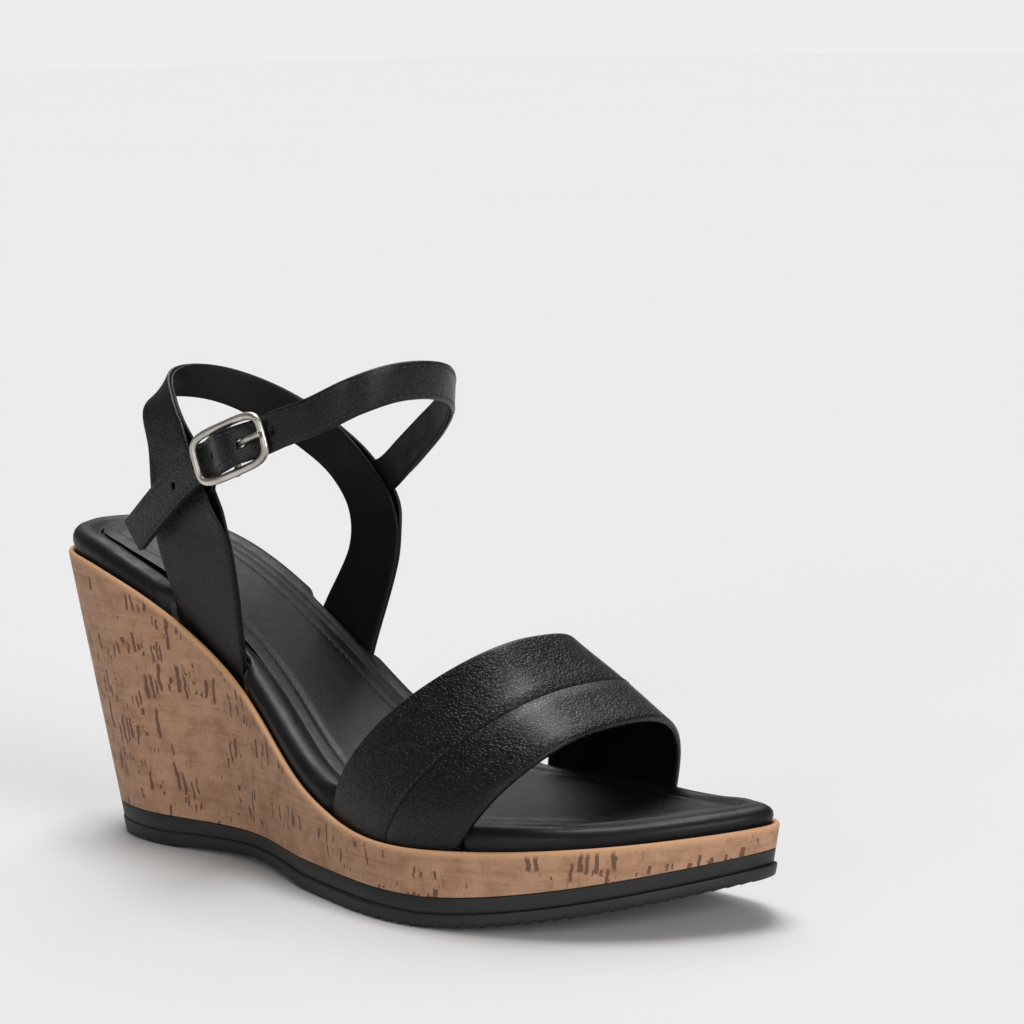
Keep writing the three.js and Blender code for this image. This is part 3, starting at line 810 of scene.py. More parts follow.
@dataclass(frozen=True)
class SlingShape:
    """The back strap's middle surface.

    u runs from the outer side round the heel to the inner side, and v from the front edge to the rear edge.
    """

    front: Spline
    rear: Spline

    @classmethod
    def make(cls) -> SlingShape:
        """Lays out the strap's two edges.

        Returns:
            The shape.
        """
        inset = 1.0
        (outer_rear, outer_front), (inner_rear, inner_front) = SLING_OUTER, SLING_INNER
        rows: list[Row] = [
            *((rim_edge(outer_front, Side.OUTER, rise, inset), rim_edge(outer_rear, Side.OUTER, rise, inset))
              for rise in (-TUCK, 0)),
            (ankle(50.5, -0.87, 15.5), ankle(19, -0.87, 14)),
            (ankle(46.5, -0.94, 28.7), ankle(18, -0.89, 29)),
            (ankle(36.5, -0.9, 44.3), ankle(14, -0.79, 40.5)),
            (ankle(23, -0.71, 55.8), ankle(6.5, -0.63, 51.5)),
            (ankle(11, -0.39, 62.7), ankle(4.2, -0.32, 54.6)),
            (ankle(7, 0, 63.9), ankle(6.5, 0.06, 53.2)),
            (ankle(10, 0.42, 61.4), ankle(9, 0.42, 49.4)),
            (ankle(19, 0.81, 54.9), ankle(14.5, 0.74, 42.9)),
            (ankle(36, 1, 44.9), ankle(25, 0.95, 34.9)),
            (ankle(51, 1.03, 33.9), ankle(35.3, 1, 27.2)),
            (ankle(60.5, 1.05, 21.9), ankle(41, 1.03, 17.9)),
            (ankle(61.7, 1.03, 6.9), ankle(41, 1.03, 6.9)),
            *((rim_edge(inner_front, Side.INNER, rise), rim_edge(inner_rear, Side.INNER, rise))
              for rise in (0, -TUCK)),
        ]
        return cls(Spline(tuple(a for a, _ in rows)), Spline(tuple(b for _, b in rows)))

    def __call__(self, u: float, v: float) -> Vector:
        """Gives a point of the surface."""
        return self.front.at(u).lerp(self.rear.at(u), v)

    def room(self, u: float, v: float, station: float, reach: float, half: float) -> float:
        """Finds how far a layer gives way to an end that enters at the front edge.

        Args:
            u: place along the strap.
            v: place across it, where the room tapers to nothing at the rear edge.
            station: where the end enters.
            reach: how far along the strap the room spreads.
            half: half the end's thickness.

        Returns:
            The room on each side of the end.
        """
        near = smooth((reach - abs(u - station) * self.front.spans) / 0.9)
        return near * (1 - v) * (half + LAYER_GAP) / (1 - ENTRY)


SLING = SlingShape.make()
CHAPE_STATION = 3.3 / SLING.front.spans
STRAP_STATION = 11.4 / SLING.front.spans


def sling_room(u: float, v: float) -> float:
    """How far each layer of the back strap gives way to the chape and to the ankle strap's fixed end."""
    chape = SLING.room(u, v, CHAPE_STATION, 1.3, CHAPE_THICKNESS)
    return chape + SLING.room(u, v, STRAP_STATION, 1.4, SKIVE * HALF_STACK)


@dataclass(frozen=True)
class BuckleShape:
    """Sizes of the buckle and its place on the outer side."""

    at: tuple[float, float] = (64.0, 45.3)
    stand: float = 7.0
    length: float = 33.0
    width: float = 16.8
    wire: float = 2.4
    bar_radius: float = 1.1
    bar_inset: float = 1.6
    tilt: float = 20.0
    prong_eye: float = 2.5

    @property
    def matrix(self) -> Matrix:
        """Turns places along, across and out of the buckle into places on the sandal.

        Returns:
            The matrix.
        """
        turn = math.radians(self.tilt)
        origin = Vector((self.at[0], -(HALF_ANKLE + self.stand), SEAT + self.at[1]))
        ahead = Vector((math.cos(turn), 0, math.sin(turn)))
        across = Vector((-math.sin(turn), 0, math.cos(turn)))
        rows = zip(ahead, across, Vector((0, -1, 0)), origin)
        return Matrix([*rows, (0, 0, 0, 1)])

    def place(self, ahead: float, across: float, out: float) -> Vector:
        """Gives a place on the sandal from its place in the buckle."""
        return self.matrix @ Vector((ahead, across, out))

    @property
    def under(self) -> float:
        """Depth of the strap's middle behind an end bar."""
        return self.wire / 2 + LAYER_GAP + HALF_STACK

    @property
    def over(self) -> float:
        """Height of the strap's middle over the centre bar."""
        return -self.bar_inset + self.prong_eye + LAYER_GAP + HALF_STACK

    @property
    def reach(self) -> float:
        """Distance from the centre bar to the inside of an end bar."""
        return self.length / 2 - self.wire


BUCKLE = BuckleShape()


@dataclass(frozen=True)
class AnkleShape:
    """The ankle strap's middle surface: u from its fixed end to its free end, v across it."""

    line: Spline
    facing: Spline
    buckle_at: float
    width: float = 11.0

    @classmethod
    def make(cls) -> AnkleShape:
        """Lays out the strap's middle line with the way its grain side faces.

        Returns:
            The shape.
        """
        under = -BUCKLE.under
        rows: list[Row] = [
            (SLING(STRAP_STATION, ENTRY), Vector((0, 1, 0))),
            (SLING(STRAP_STATION, -0.05), Vector((0, 1, 0))),
            (ankle(67.5, 0.95, 36.5), Vector((0.2, 1, 0))),
            (ankle(79, 0.84, 43.7), Vector((0.35, 0.95, 0))),
            (ankle(92.5, 0.66, 51.5), Vector((0.6, 0.8, 0))),
            (ankle(104, 0.43, 58.8), Vector((0.8, 0.6, 0))),
            (ankle(110.5, 0.12, 63.4), Vector((0.96, 0.28, 0))),
            (ankle(113, -0.24, 65.4), Vector((1, 0, 0))),
            (ankle(111.8, -0.6, 65.2), Vector((0.9, -0.4, 0))),
            (ankle(106.5, -0.9, 62.2), Vector((0.55, -0.83, 0))),
            (ankle(95.5, -1.08, 56.5), Vector((0.15, -1, 0))),
            (BUCKLE.place(21, 0, under), Vector((0, -1, 0))),
            (BUCKLE.place(15, 0, under), Vector((0, -1, 0))),
            (BUCKLE.place(0, 0, under), Vector((0, -1, 0))),
            (BUCKLE.place(-15, 0, under), Vector((0, -1, 0))),
            (BUCKLE.place(-20, -0.4, under), Vector((0, -1, 0))),
            (ankle(32, -1.12, 28.7), Vector((0, -1, 0))),
            (ankle(15, -1.06, 15.5), Vector((0, -1, 0))),
        ]
        line = Spline(tuple(a for a, _ in rows))
        return cls(line, Spline(tuple(b for _, b in rows)), 13 / line.spans)

    def weave(self, point: Vector) -> float:
        """How far the strap rises between the end bars to pass over the centre bar.

        Args:
            point: a point of the strap's middle line.

        Returns:
            The rise.
        """
        ahead = (BUCKLE.matrix.inverted() @ point).x
        reach = clamp(abs(ahead) / (BUCKLE.reach - BUCKLE.wire / 2))
        return (BUCKLE.under + BUCKLE.over) * math.cos(reach * math.pi / 2) ** 2

    def frame(self, u: float) -> tuple[Vector, Vector, Vector]:
        """Gives the middle point at u, the way down across the strap and the way its grain faces.

        Args:
            u: place along the strap.

        Returns:
            The middle point, the way down across the strap and the way its grain faces.
        """
        held = clamp(u)
        point = self.line.at(u)
        tangent = self.line.tangent(held)
        down = self.facing.inside(held).cross(tangent).normalized()
        out = tangent.cross(down).normalized()
        rise = self.weave(point) if abs(u - self.buckle_at) < 0.15 else 0.0
        return point + out * rise, down, out

    def __call__(self, u: float, v: float) -> Vector:
        """Gives a point of the surface."""
        point, down, _ = self.frame(u)
        return point + down * (v - 0.5) * self.width

    def parameter(self, distance: float) -> float:
        """Finds u at a distance ahead of the buckle's middle, measured along the strap.

        Args:
            distance: the distance, which is negative behind the buckle.

        Returns:
            The place along the strap.
        """
        step = -0.0005 if distance > 0 else 0.0005
        u, travelled = self.buckle_at, 0.0
        while travelled < abs(distance):
            travelled += (self.line.inside(u) - self.line.inside(u + step)).length
            u += step
        return u


ANKLE = AnkleShape.make()


def skived(u: float) -> float:
    """Share of the ankle strap's thickness left at u, where its fixed end is thinned."""
    return lerp(SKIVE, 1, smooth((u - 0.07) / 0.08))


# ------------------------------------------------------------------------------------------------
# Thread
# ------------------------------------------------------------------------------------------------


@dataclass(frozen=True)
class Seam:
    """A row of stitches along a line that lies on a surface.

    Args:
        pitch: distance from one stitch to the next.
        length: length of the thread that shows between two holes.
        thread: half the thread's thickness.
    """

    pitch: float = 2.9
    length: float = 2.1
    thread: float = 0.26

    def spots(self, line: Line, samples: int) -> list[Matrix]:
        """Finds the stitches' places on a line.

        Args:
            line: gives the point and the way out of the surface at t, from 0 to 1.
            samples: how finely the line is measured.

        Returns:
            One matrix per stitch, with its length along X and its thickness along Z.
        """
        points = [line(i / samples) for i in range(samples + 1)]
        spots = []
        travelled, wanted = 0.0, self.pitch / 2
        for (a, up), (b, _) in zip(points, points[1:]):
            step = (b - a).length
            while step > 0 and travelled + step >= wanted:
                middle = a.lerp(b, (wanted - travelled) / step)
                along = (b - a).normalized()
                side = up.cross(along).normalized()
                turned = Matrix((along, side, along.cross(side))).transposed().to_4x4()
                scale = Matrix.Diagonal((self.length / 2, self.thread, self.thread, 1))
                spots.append(Matrix.Translation(middle) @ turned @ scale)
                wanted += self.pitch
            travelled += step
        return spots

    def thread_piece(self, name: str, spots: Iterable[Matrix]) -> Piece:
        """Makes the stitches as one piece.

        Args:
            name: the piece's name.
            spots: the stitches' places.

        Returns:
            The piece.
        """
        bm = bmesh.new()
        for spot in spots:
            small = Matrix.Scale(MM, 4) @ spot
            bmesh.ops.create_uvsphere(bm, u_segments=6, v_segments=5, radius=1, matrix=small)
        return finish_mesh(bm, name, 180.0)


def strip_line(strip: Strip, inwards: float, height: float, from_start: bool,
               low: float = 0.0, high: float = 1.0) -> Line:
    """Gives the line that runs along a strip at a distance from one of its edges.

    Args:
        strip: the layer.
        inwards: distance from the edge.
        height: height over the middle surface.
        from_start: whether the start edge is meant.
        low: where along the strap it starts.
        high: where it ends.

    Returns:
        The line.
    """

    def line(t: float) -> tuple[Vector, Vector]:
        """Gives a point of the line and the way out of the surface."""
        u = lerp(low, high, t)
        return strip.place(u, inwards, height, from_start), normal_of(strip.surface, u, 0.5)

    return line


# ------------------------------------------------------------------------------------------------
# Finishes
# ------------------------------------------------------------------------------------------------

Colour = tuple[float, float, float, float]
Tree = bpy.types.NodeTree
Node = bpy.types.Node
Socket = bpy.types.NodeSocket


def linear(code: str, share: float = 1.0) -> Colour:
    """Turns an sRGB hex colour into linear light.

    Args:
        code: the colour, as a hex code.
        share: how much of its light is kept.

    Returns:
        The colour, fully opaque.
    """
    levels = [int(code[i : i + 2], 16) / 255 for i in (1, 3, 5)]
    red, green, blue = (c / 12.92 if c <= 0.04045 else ((c + 0.055) / 1.055) ** 2.4 for c in levels)
    return red * share, green * share, blue * share, 1.0


def grey(level: float) -> Colour:
    """Gives a grey as a colour."""
    return level, level, level, 1.0


def per_mm(size: float) -> float:
    """Gives the scale of a pattern whose features are this many millimetres apart."""
    return 1 / (size * MM)


def feed(tree: Tree, node: Node, inputs: dict) -> None:
    """Gives a node's sockets their values or their links.

    Args:
        tree: the material's node tree.
        node: the node.
        inputs: socket name or number to a value, an output, or a node whose first output is meant.
    """
    for socket, value in inputs.items():
        source = value.outputs[0] if isinstance(value, Node) else value
        if isinstance(source, Socket):
            tree.links.new(source, node.inputs[socket])
        else:
            node.inputs[socket].default_value = source


def add_node(tree: Tree, kind: str, inputs: dict | None = None, stops: Sequence[tuple[float, Colour]] = (),
             **settings: object) -> Node:
    """Adds a shader node with its settings, values and links.

    Args:
        tree: the material's node tree.
        kind: the node's type, without the start that every type shares.
        inputs: what its sockets are fed with.
        stops: places and colours, for a colour ramp.
        settings: the node's own properties.

    Returns:
        The node.
    """
    node = tree.nodes.new(f"ShaderNode{kind}")
    for name, value in settings.items():
        setattr(node, name, value)
    feed(tree, node, inputs or {})
    elements = node.color_ramp.elements if stops else ()
    while len(elements) < len(stops):
        elements.new(0.5)
    for element, (place, colour) in zip(elements, stops):
        element.position = place
        element.color = colour
    return node


def start_material(name: str) -> tuple[bpy.types.Material, Tree, Node, Socket]:
    """Makes an empty material.

    Args:
        name: the material's name.

    Returns:
        The material, its node tree, its shader and the output that gives the place on the piece.
    """
    material = bpy.data.materials.new(name)
    material.use_nodes = True
    tree = material.node_tree
    place = add_node(tree, "TexCoord").outputs["Object"]
    return material, tree, tree.nodes["Principled BSDF"], place


@dataclass(frozen=True)
class Flecks:
    """One size of bark fleck: upright dark strokes set in level rows.

    Args:
        width: spacing of the flecks along the veneer, in mm.
        height: their spacing up it, in mm.
        fill: half the share of its spacing that the largest fleck fills.
        share: the least random number that gives a fleck.
        edge: how softly a fleck ends, as a share of its spacing.
    """

    width: float
    height: float
    fill: float
    share: float
    edge: float = 0.05

    def mask(self, tree: Tree, place: Socket, row: Socket) -> Socket:
        """Gives 1 on the flecks.

        Args:
            tree: the material's node tree.
            place: the place that is read, with ragged edges already in it.
            row: a number that is high where flecks gather.

        Returns:
            The mask's output.
        """
        squeeze = (per_mm(self.width), per_mm(self.height), 1.0)
        cell = add_node(tree, "Mapping", {"Vector": place, "Scale": squeeze})
        spots = add_node(tree, "TexVoronoi", {"Vector": cell, "Scale": 1.0, "Randomness": 0.9},
                         voronoi_dimensions="2D", distance="CHEBYCHEV")
        pick = add_node(tree, "SeparateColor", {"Color": spots.outputs["Color"]})
        sizes = {0: pick.outputs[1], 1: self.fill * 0.75, 2: self.fill * 0.3}
        size = add_node(tree, "Math", sizes, operation="MULTIPLY_ADD")
        inside = add_node(tree, "Math", {0: size, 1: spots.outputs["Distance"]}, operation="SUBTRACT")
        shape = add_node(tree, "ValToRGB", {"Fac": inside}, [(0.0, grey(0)), (self.edge, grey(1))])
        chance = add_node(tree, "Math", {0: pick.outputs[0], 1: row}, operation="ADD")
        chosen = add_node(tree, "Math", {0: chance, 1: self.share}, operation="GREATER_THAN")
        return add_node(tree, "Math", {0: shape, 1: chosen}, operation="MULTIPLY").outputs[0]


@dataclass(frozen=True)
class CorkFinish:
    """Natural cork veneer, sliced, glued and sealed: warm tan with dark upright bark flecks in level rows,
    and its top lip painted paler as a painted highlight.

    Args:
        cloud: size of its paler and darker patches, in mm.
        layer: length and thickness of its fine level lines, in mm.
        row: length and height of the rows where flecks gather, in mm.
        sway: how far the flecks lean about, in mm.
        grain: size of the crumbs at their ragged edges and of its specks, in mm.
        ragged: how far the crumbs move the edges, in mm.
        pit: depth of its crumbly surface, in mm.
    """

    name: str = "cork veneer"
    light: str = "#AF876A"
    middle: str = "#A57D60"
    dark: str = "#936C50"
    fleck: str = "#5C3D2B"
    # Paler tan for the top lip: a painted highlight where the edge faces the light.
    lip: str = "#C4966F"
    tall: Flecks = Flecks(2.4, 14.0, 0.32, 1.04)
    short: Flecks = Flecks(1.9, 6.0, 0.29, 1.28)
    faint: Flecks = Flecks(1.5, 10.0, 0.22, 1.0)
    cloud: float = 7.0
    layer: tuple[float, float] = (24.0, 1.4)
    row: tuple[float, float] = (30.0, 11.0)
    sway: float = 3.0
    grain: float = 1.1
    ragged: float = 0.9
    pit: float = 0.4

    @staticmethod
    def banded(tree: Tree, place: Socket, size: tuple[float, float], detail: float) -> Node:
        """Adds clouds that are stretched along the veneer.

        Args:
            tree: the material's node tree.
            place: the place on the flat veneer.
            size: their length and height, in mm.
            detail: how many finer sizes they hold.

        Returns:
            The clouds' node.
        """
        bands = add_node(tree, "Mapping", {"Vector": place, "Scale": (per_mm(size[0]), per_mm(size[1]), 1.0)})
        return add_node(tree, "TexNoise", {"Vector": bands, "Scale": 1.0, "Detail": detail})

    def tan(self, tree: Tree, place: Socket) -> tuple[Socket, Socket]:
        """Gives the clear cork's colour, cloudy with fine level lines.

        Args:
            tree: the material's node tree.
            place: the place on the flat veneer.

        Returns:
            The colour's output and its tone's output.
        """
        clouds = {"Vector": place, "Scale": per_mm(self.cloud), "Detail": 6.0, "Roughness": 0.62}
        tone = add_node(tree, "TexNoise", clouds)
        lines = self.banded(tree, place, self.layer, 3.0)
        both = add_node(tree, "Math", {0: lines, 1: 0.45, 2: tone}, operation="MULTIPLY_ADD")
        stops = [(0.56, linear(self.dark)), (0.71, linear(self.middle)), (0.86, linear(self.light))]
        return add_node(tree, "ValToRGB", {"Fac": both}, stops).outputs[0], both.outputs[0]

    def bend(self, tree: Tree, place: Socket) -> Socket:
        """Moves the place a little, so that the flecks lean about and end in ragged edges.

        Args:
            tree: the material's node tree.
            place: the place on the flat veneer.

        Returns:
            The moved place's output.
        """
        sway = add_node(tree, "TexNoise", {"Vector": place, "Scale": per_mm(self.cloud), "Detail": 1.0})
        crumbs = add_node(tree, "TexNoise", {"Vector": place, "Scale": per_mm(self.grain), "Detail": 3.0})
        for clouds, reach in ((sway, self.sway), (crumbs, self.ragged)):
            moved = {"Factor": reach * MM, "A": place, "B": clouds.outputs["Color"]}
            place = add_node(tree, "Mix", moved, data_type="VECTOR").outputs[1]
        return place

    def marks(self, tree: Tree, place: Socket) -> Socket:
        """Gives how dark the flecks are at each place, from 0 to 1.

        Args:
            tree: the material's node tree.
            place: the place on the flat veneer.

        Returns:
            The darkness's output.
        """
        gather = {"Value": self.banded(tree, place, self.row, 2.0), "From Min": 0.36, "From Max": 0.66,
                  "To Min": 0.0, "To Max": 0.85}
        row = add_node(tree, "MapRange", gather).outputs[0]
        bent = self.bend(tree, place)
        tall, short, faint = (kind.mask(tree, bent, row) for kind in (self.tall, self.short, self.faint))
        dark = add_node(tree, "Math", {0: tall, 1: short}, operation="MAXIMUM")
        weak = add_node(tree, "Math", {0: faint, 1: 0.35}, operation="MULTIPLY")
        return add_node(tree, "Math", {0: dark, 1: weak}, operation="MAXIMUM").outputs[0]

    def build(self) -> bpy.types.Material:
        """Makes the material.

        Returns:
            The material.
        """
        material, tree, shader, place = start_material(self.name)
        unrolled = add_node(tree, "Attribute", attribute_name="veneer").outputs["Vector"]
        rim = add_node(tree, "Attribute", attribute_name="lip").outputs["Fac"]
        base, tone = self.tan(tree, unrolled)
        wall = add_node(tree, "Math", {0: 1.0, 1: rim}, operation="SUBTRACT")
        marks = add_node(tree, "Math", {0: self.marks(tree, unrolled), 1: wall}, operation="MULTIPLY")
        strength = add_node(tree, "Math", {0: marks, 1: 0.9}, operation="MULTIPLY")
        # The top lip is painted paler and without flecks: a painted highlight on the edge that faces up.
        with_lip_highlight = add_node(tree, "Mix", {"Factor": rim, "A": base, "B": linear(self.lip)}, data_type="RGBA")
        specks = add_node(tree, "TexVoronoi", {"Vector": place, "Scale": per_mm(self.grain)})
        speck = add_node(tree, "ValToRGB", {"Fac": specks}, [(0.0, grey(0.8)), (0.5, grey(1.0))])
        speckled = add_node(tree, "Mix", {"Factor": 0.6, "A": with_lip_highlight.outputs["Result"], "B": speck},
                            data_type="RGBA", blend_type="MULTIPLY")
        colour = add_node(tree, "Mix", {"Factor": strength, "A": speckled.outputs["Result"],
                                        "B": linear(self.fleck)}, data_type="RGBA")
        height = add_node(tree, "Math", {0: marks, 1: -0.5, 2: tone}, operation="MULTIPLY_ADD")
        bump = add_node(tree, "Bump", {"Height": height, "Strength": 0.5, "Distance": self.pit * MM})
        feed(tree, shader, {"Base Color": colour.outputs["Result"], "Normal": bump, "Roughness": 0.6,
                            "IOR": 1.45})
        return material


@dataclass(frozen=True)
class LeatherFinish:
    """Chrome-tanned leather with a pigmented grain: small rounded pebbles with fine creases between them, the
    creases painted darker as painted shade.

    Args:
        pebble: size of a pebble, in mm.
        depth: height of a pebble, in mm.
        crease: spacing of the soft folds, in mm.
        crease_depth: their depth, in mm.
        polish: weight of the wax on top.
        waver: size of the bends in the pebbles' outlines, in mm.
        pore: spacing of the pores, in mm.
        pore_depth: their depth, in mm.
    """

    name: str
    colour: str
    roughness: float
    pebble: float
    depth: float
    crease: float
    crease_depth: float
    polish: float = 0.1
    waver: float = 1.8
    pore: float = 0.45
    pore_depth: float = 0.012

    def build(self) -> bpy.types.Material:
        """Makes the material.

        Returns:
            The material.
        """
        material, tree, shader, place = start_material(self.name)
        warp = add_node(tree, "TexNoise", {"Vector": place, "Scale": per_mm(self.waver), "Detail": 3.0})
        moved = {"Factor": self.pebble * MM * 1.3, "A": place, "B": warp.outputs["Color"]}
        shifted = add_node(tree, "Mix", moved, data_type="VECTOR").outputs["Result"]
        cells = add_node(tree, "TexVoronoi", {"Vector": shifted, "Scale": per_mm(self.pebble)},
                         feature="DISTANCE_TO_EDGE").outputs["Distance"]
        domes = {"Value": cells, "From Min": 0.0, "From Max": 0.26, "To Min": 0.0, "To Max": 1.0}
        pebbles = add_node(tree, "MapRange", domes, interpolation_type="SMOOTHSTEP")
        folds = add_node(tree, "TexNoise", {"Vector": place, "Scale": per_mm(self.crease), "Detail": 5.0,
                                            "Roughness": 0.62, "Distortion": 0.6})
        pores = add_node(tree, "TexNoise", {"Vector": place, "Scale": per_mm(self.pore), "Detail": 2.0})
        # The grooves between pebbles are painted at half the colour: painted shade in the creases.
        shade = add_node(tree, "ValToRGB", {"Fac": pebbles},
                         [(0.0, linear(self.colour, 0.5)), (0.6, linear(self.colour))])
        gloss = add_node(tree, "MapRange", {"Value": folds, "From Min": 0.3, "From Max": 0.7,
                                            "To Min": self.roughness - 0.07, "To Max": self.roughness + 0.1})
        bumps: dict[str, Node] = {}
        for height, depth in ((folds, self.crease_depth), (pebbles, self.depth), (pores, self.pore_depth)):
            bumps = {"Normal": add_node(tree, "Bump", {"Height": height, "Strength": 1.0,
                                                       "Distance": depth * MM, **bumps})}
        feed(tree, shader, {"Base Color": shade, "Roughness": gloss, "IOR": 1.5, "Specular IOR Level": 0.2,
                            "Coat Weight": self.polish, "Coat Roughness": 0.28, **bumps})
        return material


@dataclass(frozen=True)
class PlainFinish:
    """A moulded, pressed or spun material: one colour that drifts a little, with a fine even texture.

    Args:
        texture: size of the texture, in mm.
        depth: its depth, in mm.
        drift: how much lighter and darker the colour gets, as a share.
        metallic: 1 for a bare metal.
        ior: how strongly it bends light, which a metal leaves as it is.
        cloud: size of the drift, in mm.
    """

    name: str
    colour: str
    roughness: float
    texture: float
    depth: float
    drift: float = 0.2
    metallic: float = 0.0
    ior: float = 1.5
    cloud: float = 12.0

    def build(self) -> bpy.types.Material:
        """Makes the material.

        Returns:
            The material.
        """
        material, tree, shader, place = start_material(self.name)
        cloud = add_node(tree, "TexNoise", {"Vector": place, "Scale": per_mm(self.cloud), "Detail": 4.0})
        grit = add_node(tree, "TexNoise", {"Vector": place, "Scale": per_mm(self.texture), "Detail": 3.0})
        shade = add_node(tree, "ValToRGB", {"Fac": cloud}, [(0.3, linear(self.colour, 1 - self.drift)),
                                                            (0.7, linear(self.colour, 1 + self.drift))])
        gloss = add_node(tree, "MapRange", {"Value": grit, "From Min": 0.3, "From Max": 0.7,
                                            "To Min": self.roughness - 0.06, "To Max": self.roughness + 0.06})
        bump = add_node(tree, "Bump", {"Height": grit, "Strength": 1.0, "Distance": self.depth * MM})
        feed(tree, shader, {"Base Color": shade, "Roughness": gloss, "Normal": bump,
                            "Metallic": self.metallic})
        if not self.metallic:
            feed(tree, shader, {"IOR": self.ior})
        return material


class Finish(Enum):
    """Every finish on the sandal."""

    CORK = CorkFinish()
    UPPER = LeatherFinish("tumbled leather", "#09090B", 0.31, 1.15, 0.13, 2.4, 0.36, 0.22)
    STRAP = LeatherFinish("strap leather", "#0A0A0C", 0.36, 1.0, 0.06, 2.4, 0.18)
    LINING = LeatherFinish("lining leather", "#0E0E11", 0.52, 0.8, 0.02, 5.0, 0.12, 0.03)
    FOOTBED = LeatherFinish("footbed leather", "#111114", 0.5, 0.85, 0.02, 4.0, 0.14)
    RUBBER = PlainFinish("moulded rubber", "#131314", 0.55, 0.7, 0.03)
    THREAD = PlainFinish("bonded thread", "#1E1E21", 0.5, 0.3, 0.03)
    SILVER = PlainFinish("antiqued steel", "#C2BDB4", 0.37, 1.3, 0.1, 0.35, 1.0)
    CORE = PlainFinish("pressed cork crumb", "#B59468", 0.85, 2.0, 0.3)
    BOARD = PlainFinish("fibre board", "#8C7352", 0.85, 0.8, 0.05)
    STEEL = PlainFinish("spring steel", "#8F9498", 0.35, 0.6, 0.01, 0.1, 1.0)
    FOAM = PlainFinish("footbed foam", "#3A3A3D", 0.95, 0.7, 0.1)


MATERIALS: dict[Finish, bpy.types.Material] = {}


def material_of(finish: Finish) -> bpy.types.Material:
    """Gives a finish's material, and makes it the first time.

    Args:
        finish: the finish.

    Returns:
        The material.
    """
    if finish not in MATERIALS:
        MATERIALS[finish] = finish.value.build()
    return MATERIALS[finish]


def dress(piece: Piece, finish: Finish) -> None:
    """Gives a piece its one finish."""
    piece.data.materials.clear()
    piece.data.materials.append(material_of(finish))


def dress_node(node: str, finish: Finish) -> None:
    """Gives a CAD node that stays its finish."""
    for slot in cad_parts[node].material_slots:
        slot.material = material_of(finish)


def settle(piece: Piece, body: str, slot: str, *nodes: str) -> None:
    """Puts a finished piece on its body and reports it.

    Args:
        piece: the piece.
        body: the body it rides on.
        slot: its material slot; not used.
        nodes: the CAD nodes it stands for.
    """
    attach(piece, body)
    if nodes:
        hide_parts(*nodes)
    LOG.info("%s rides on %s, %d faces", piece.name, body, len(piece.data.polygons))


# ------------------------------------------------------------------------------------------------
# The sole
# ------------------------------------------------------------------------------------------------


PINCH_REACH = 4.0
STRAPS_ON = {
    Side.OUTER: (SLING_OUTER, (VAMP.rear_outer, VAMP.front_outer)),
    Side.INNER: (SLING_INNER, (VAMP.rear_inner, VAMP.front_inner)),
}


def pinch(place: PlanPoint) -> float:
    """Tells how much a strap presses the footbed's rim.

    Args:
        place: a place on the sole's outline.

    Returns:
        The share of the full press, from 0 to 1.
    """
    x = place.rim.x
    spans = STRAPS_ON[Side.OUTER if place.rim.y < 0 else Side.INNER]
    return max(smooth(min(x - low, high - x) / PINCH_REACH + 1) for low, high in spans)


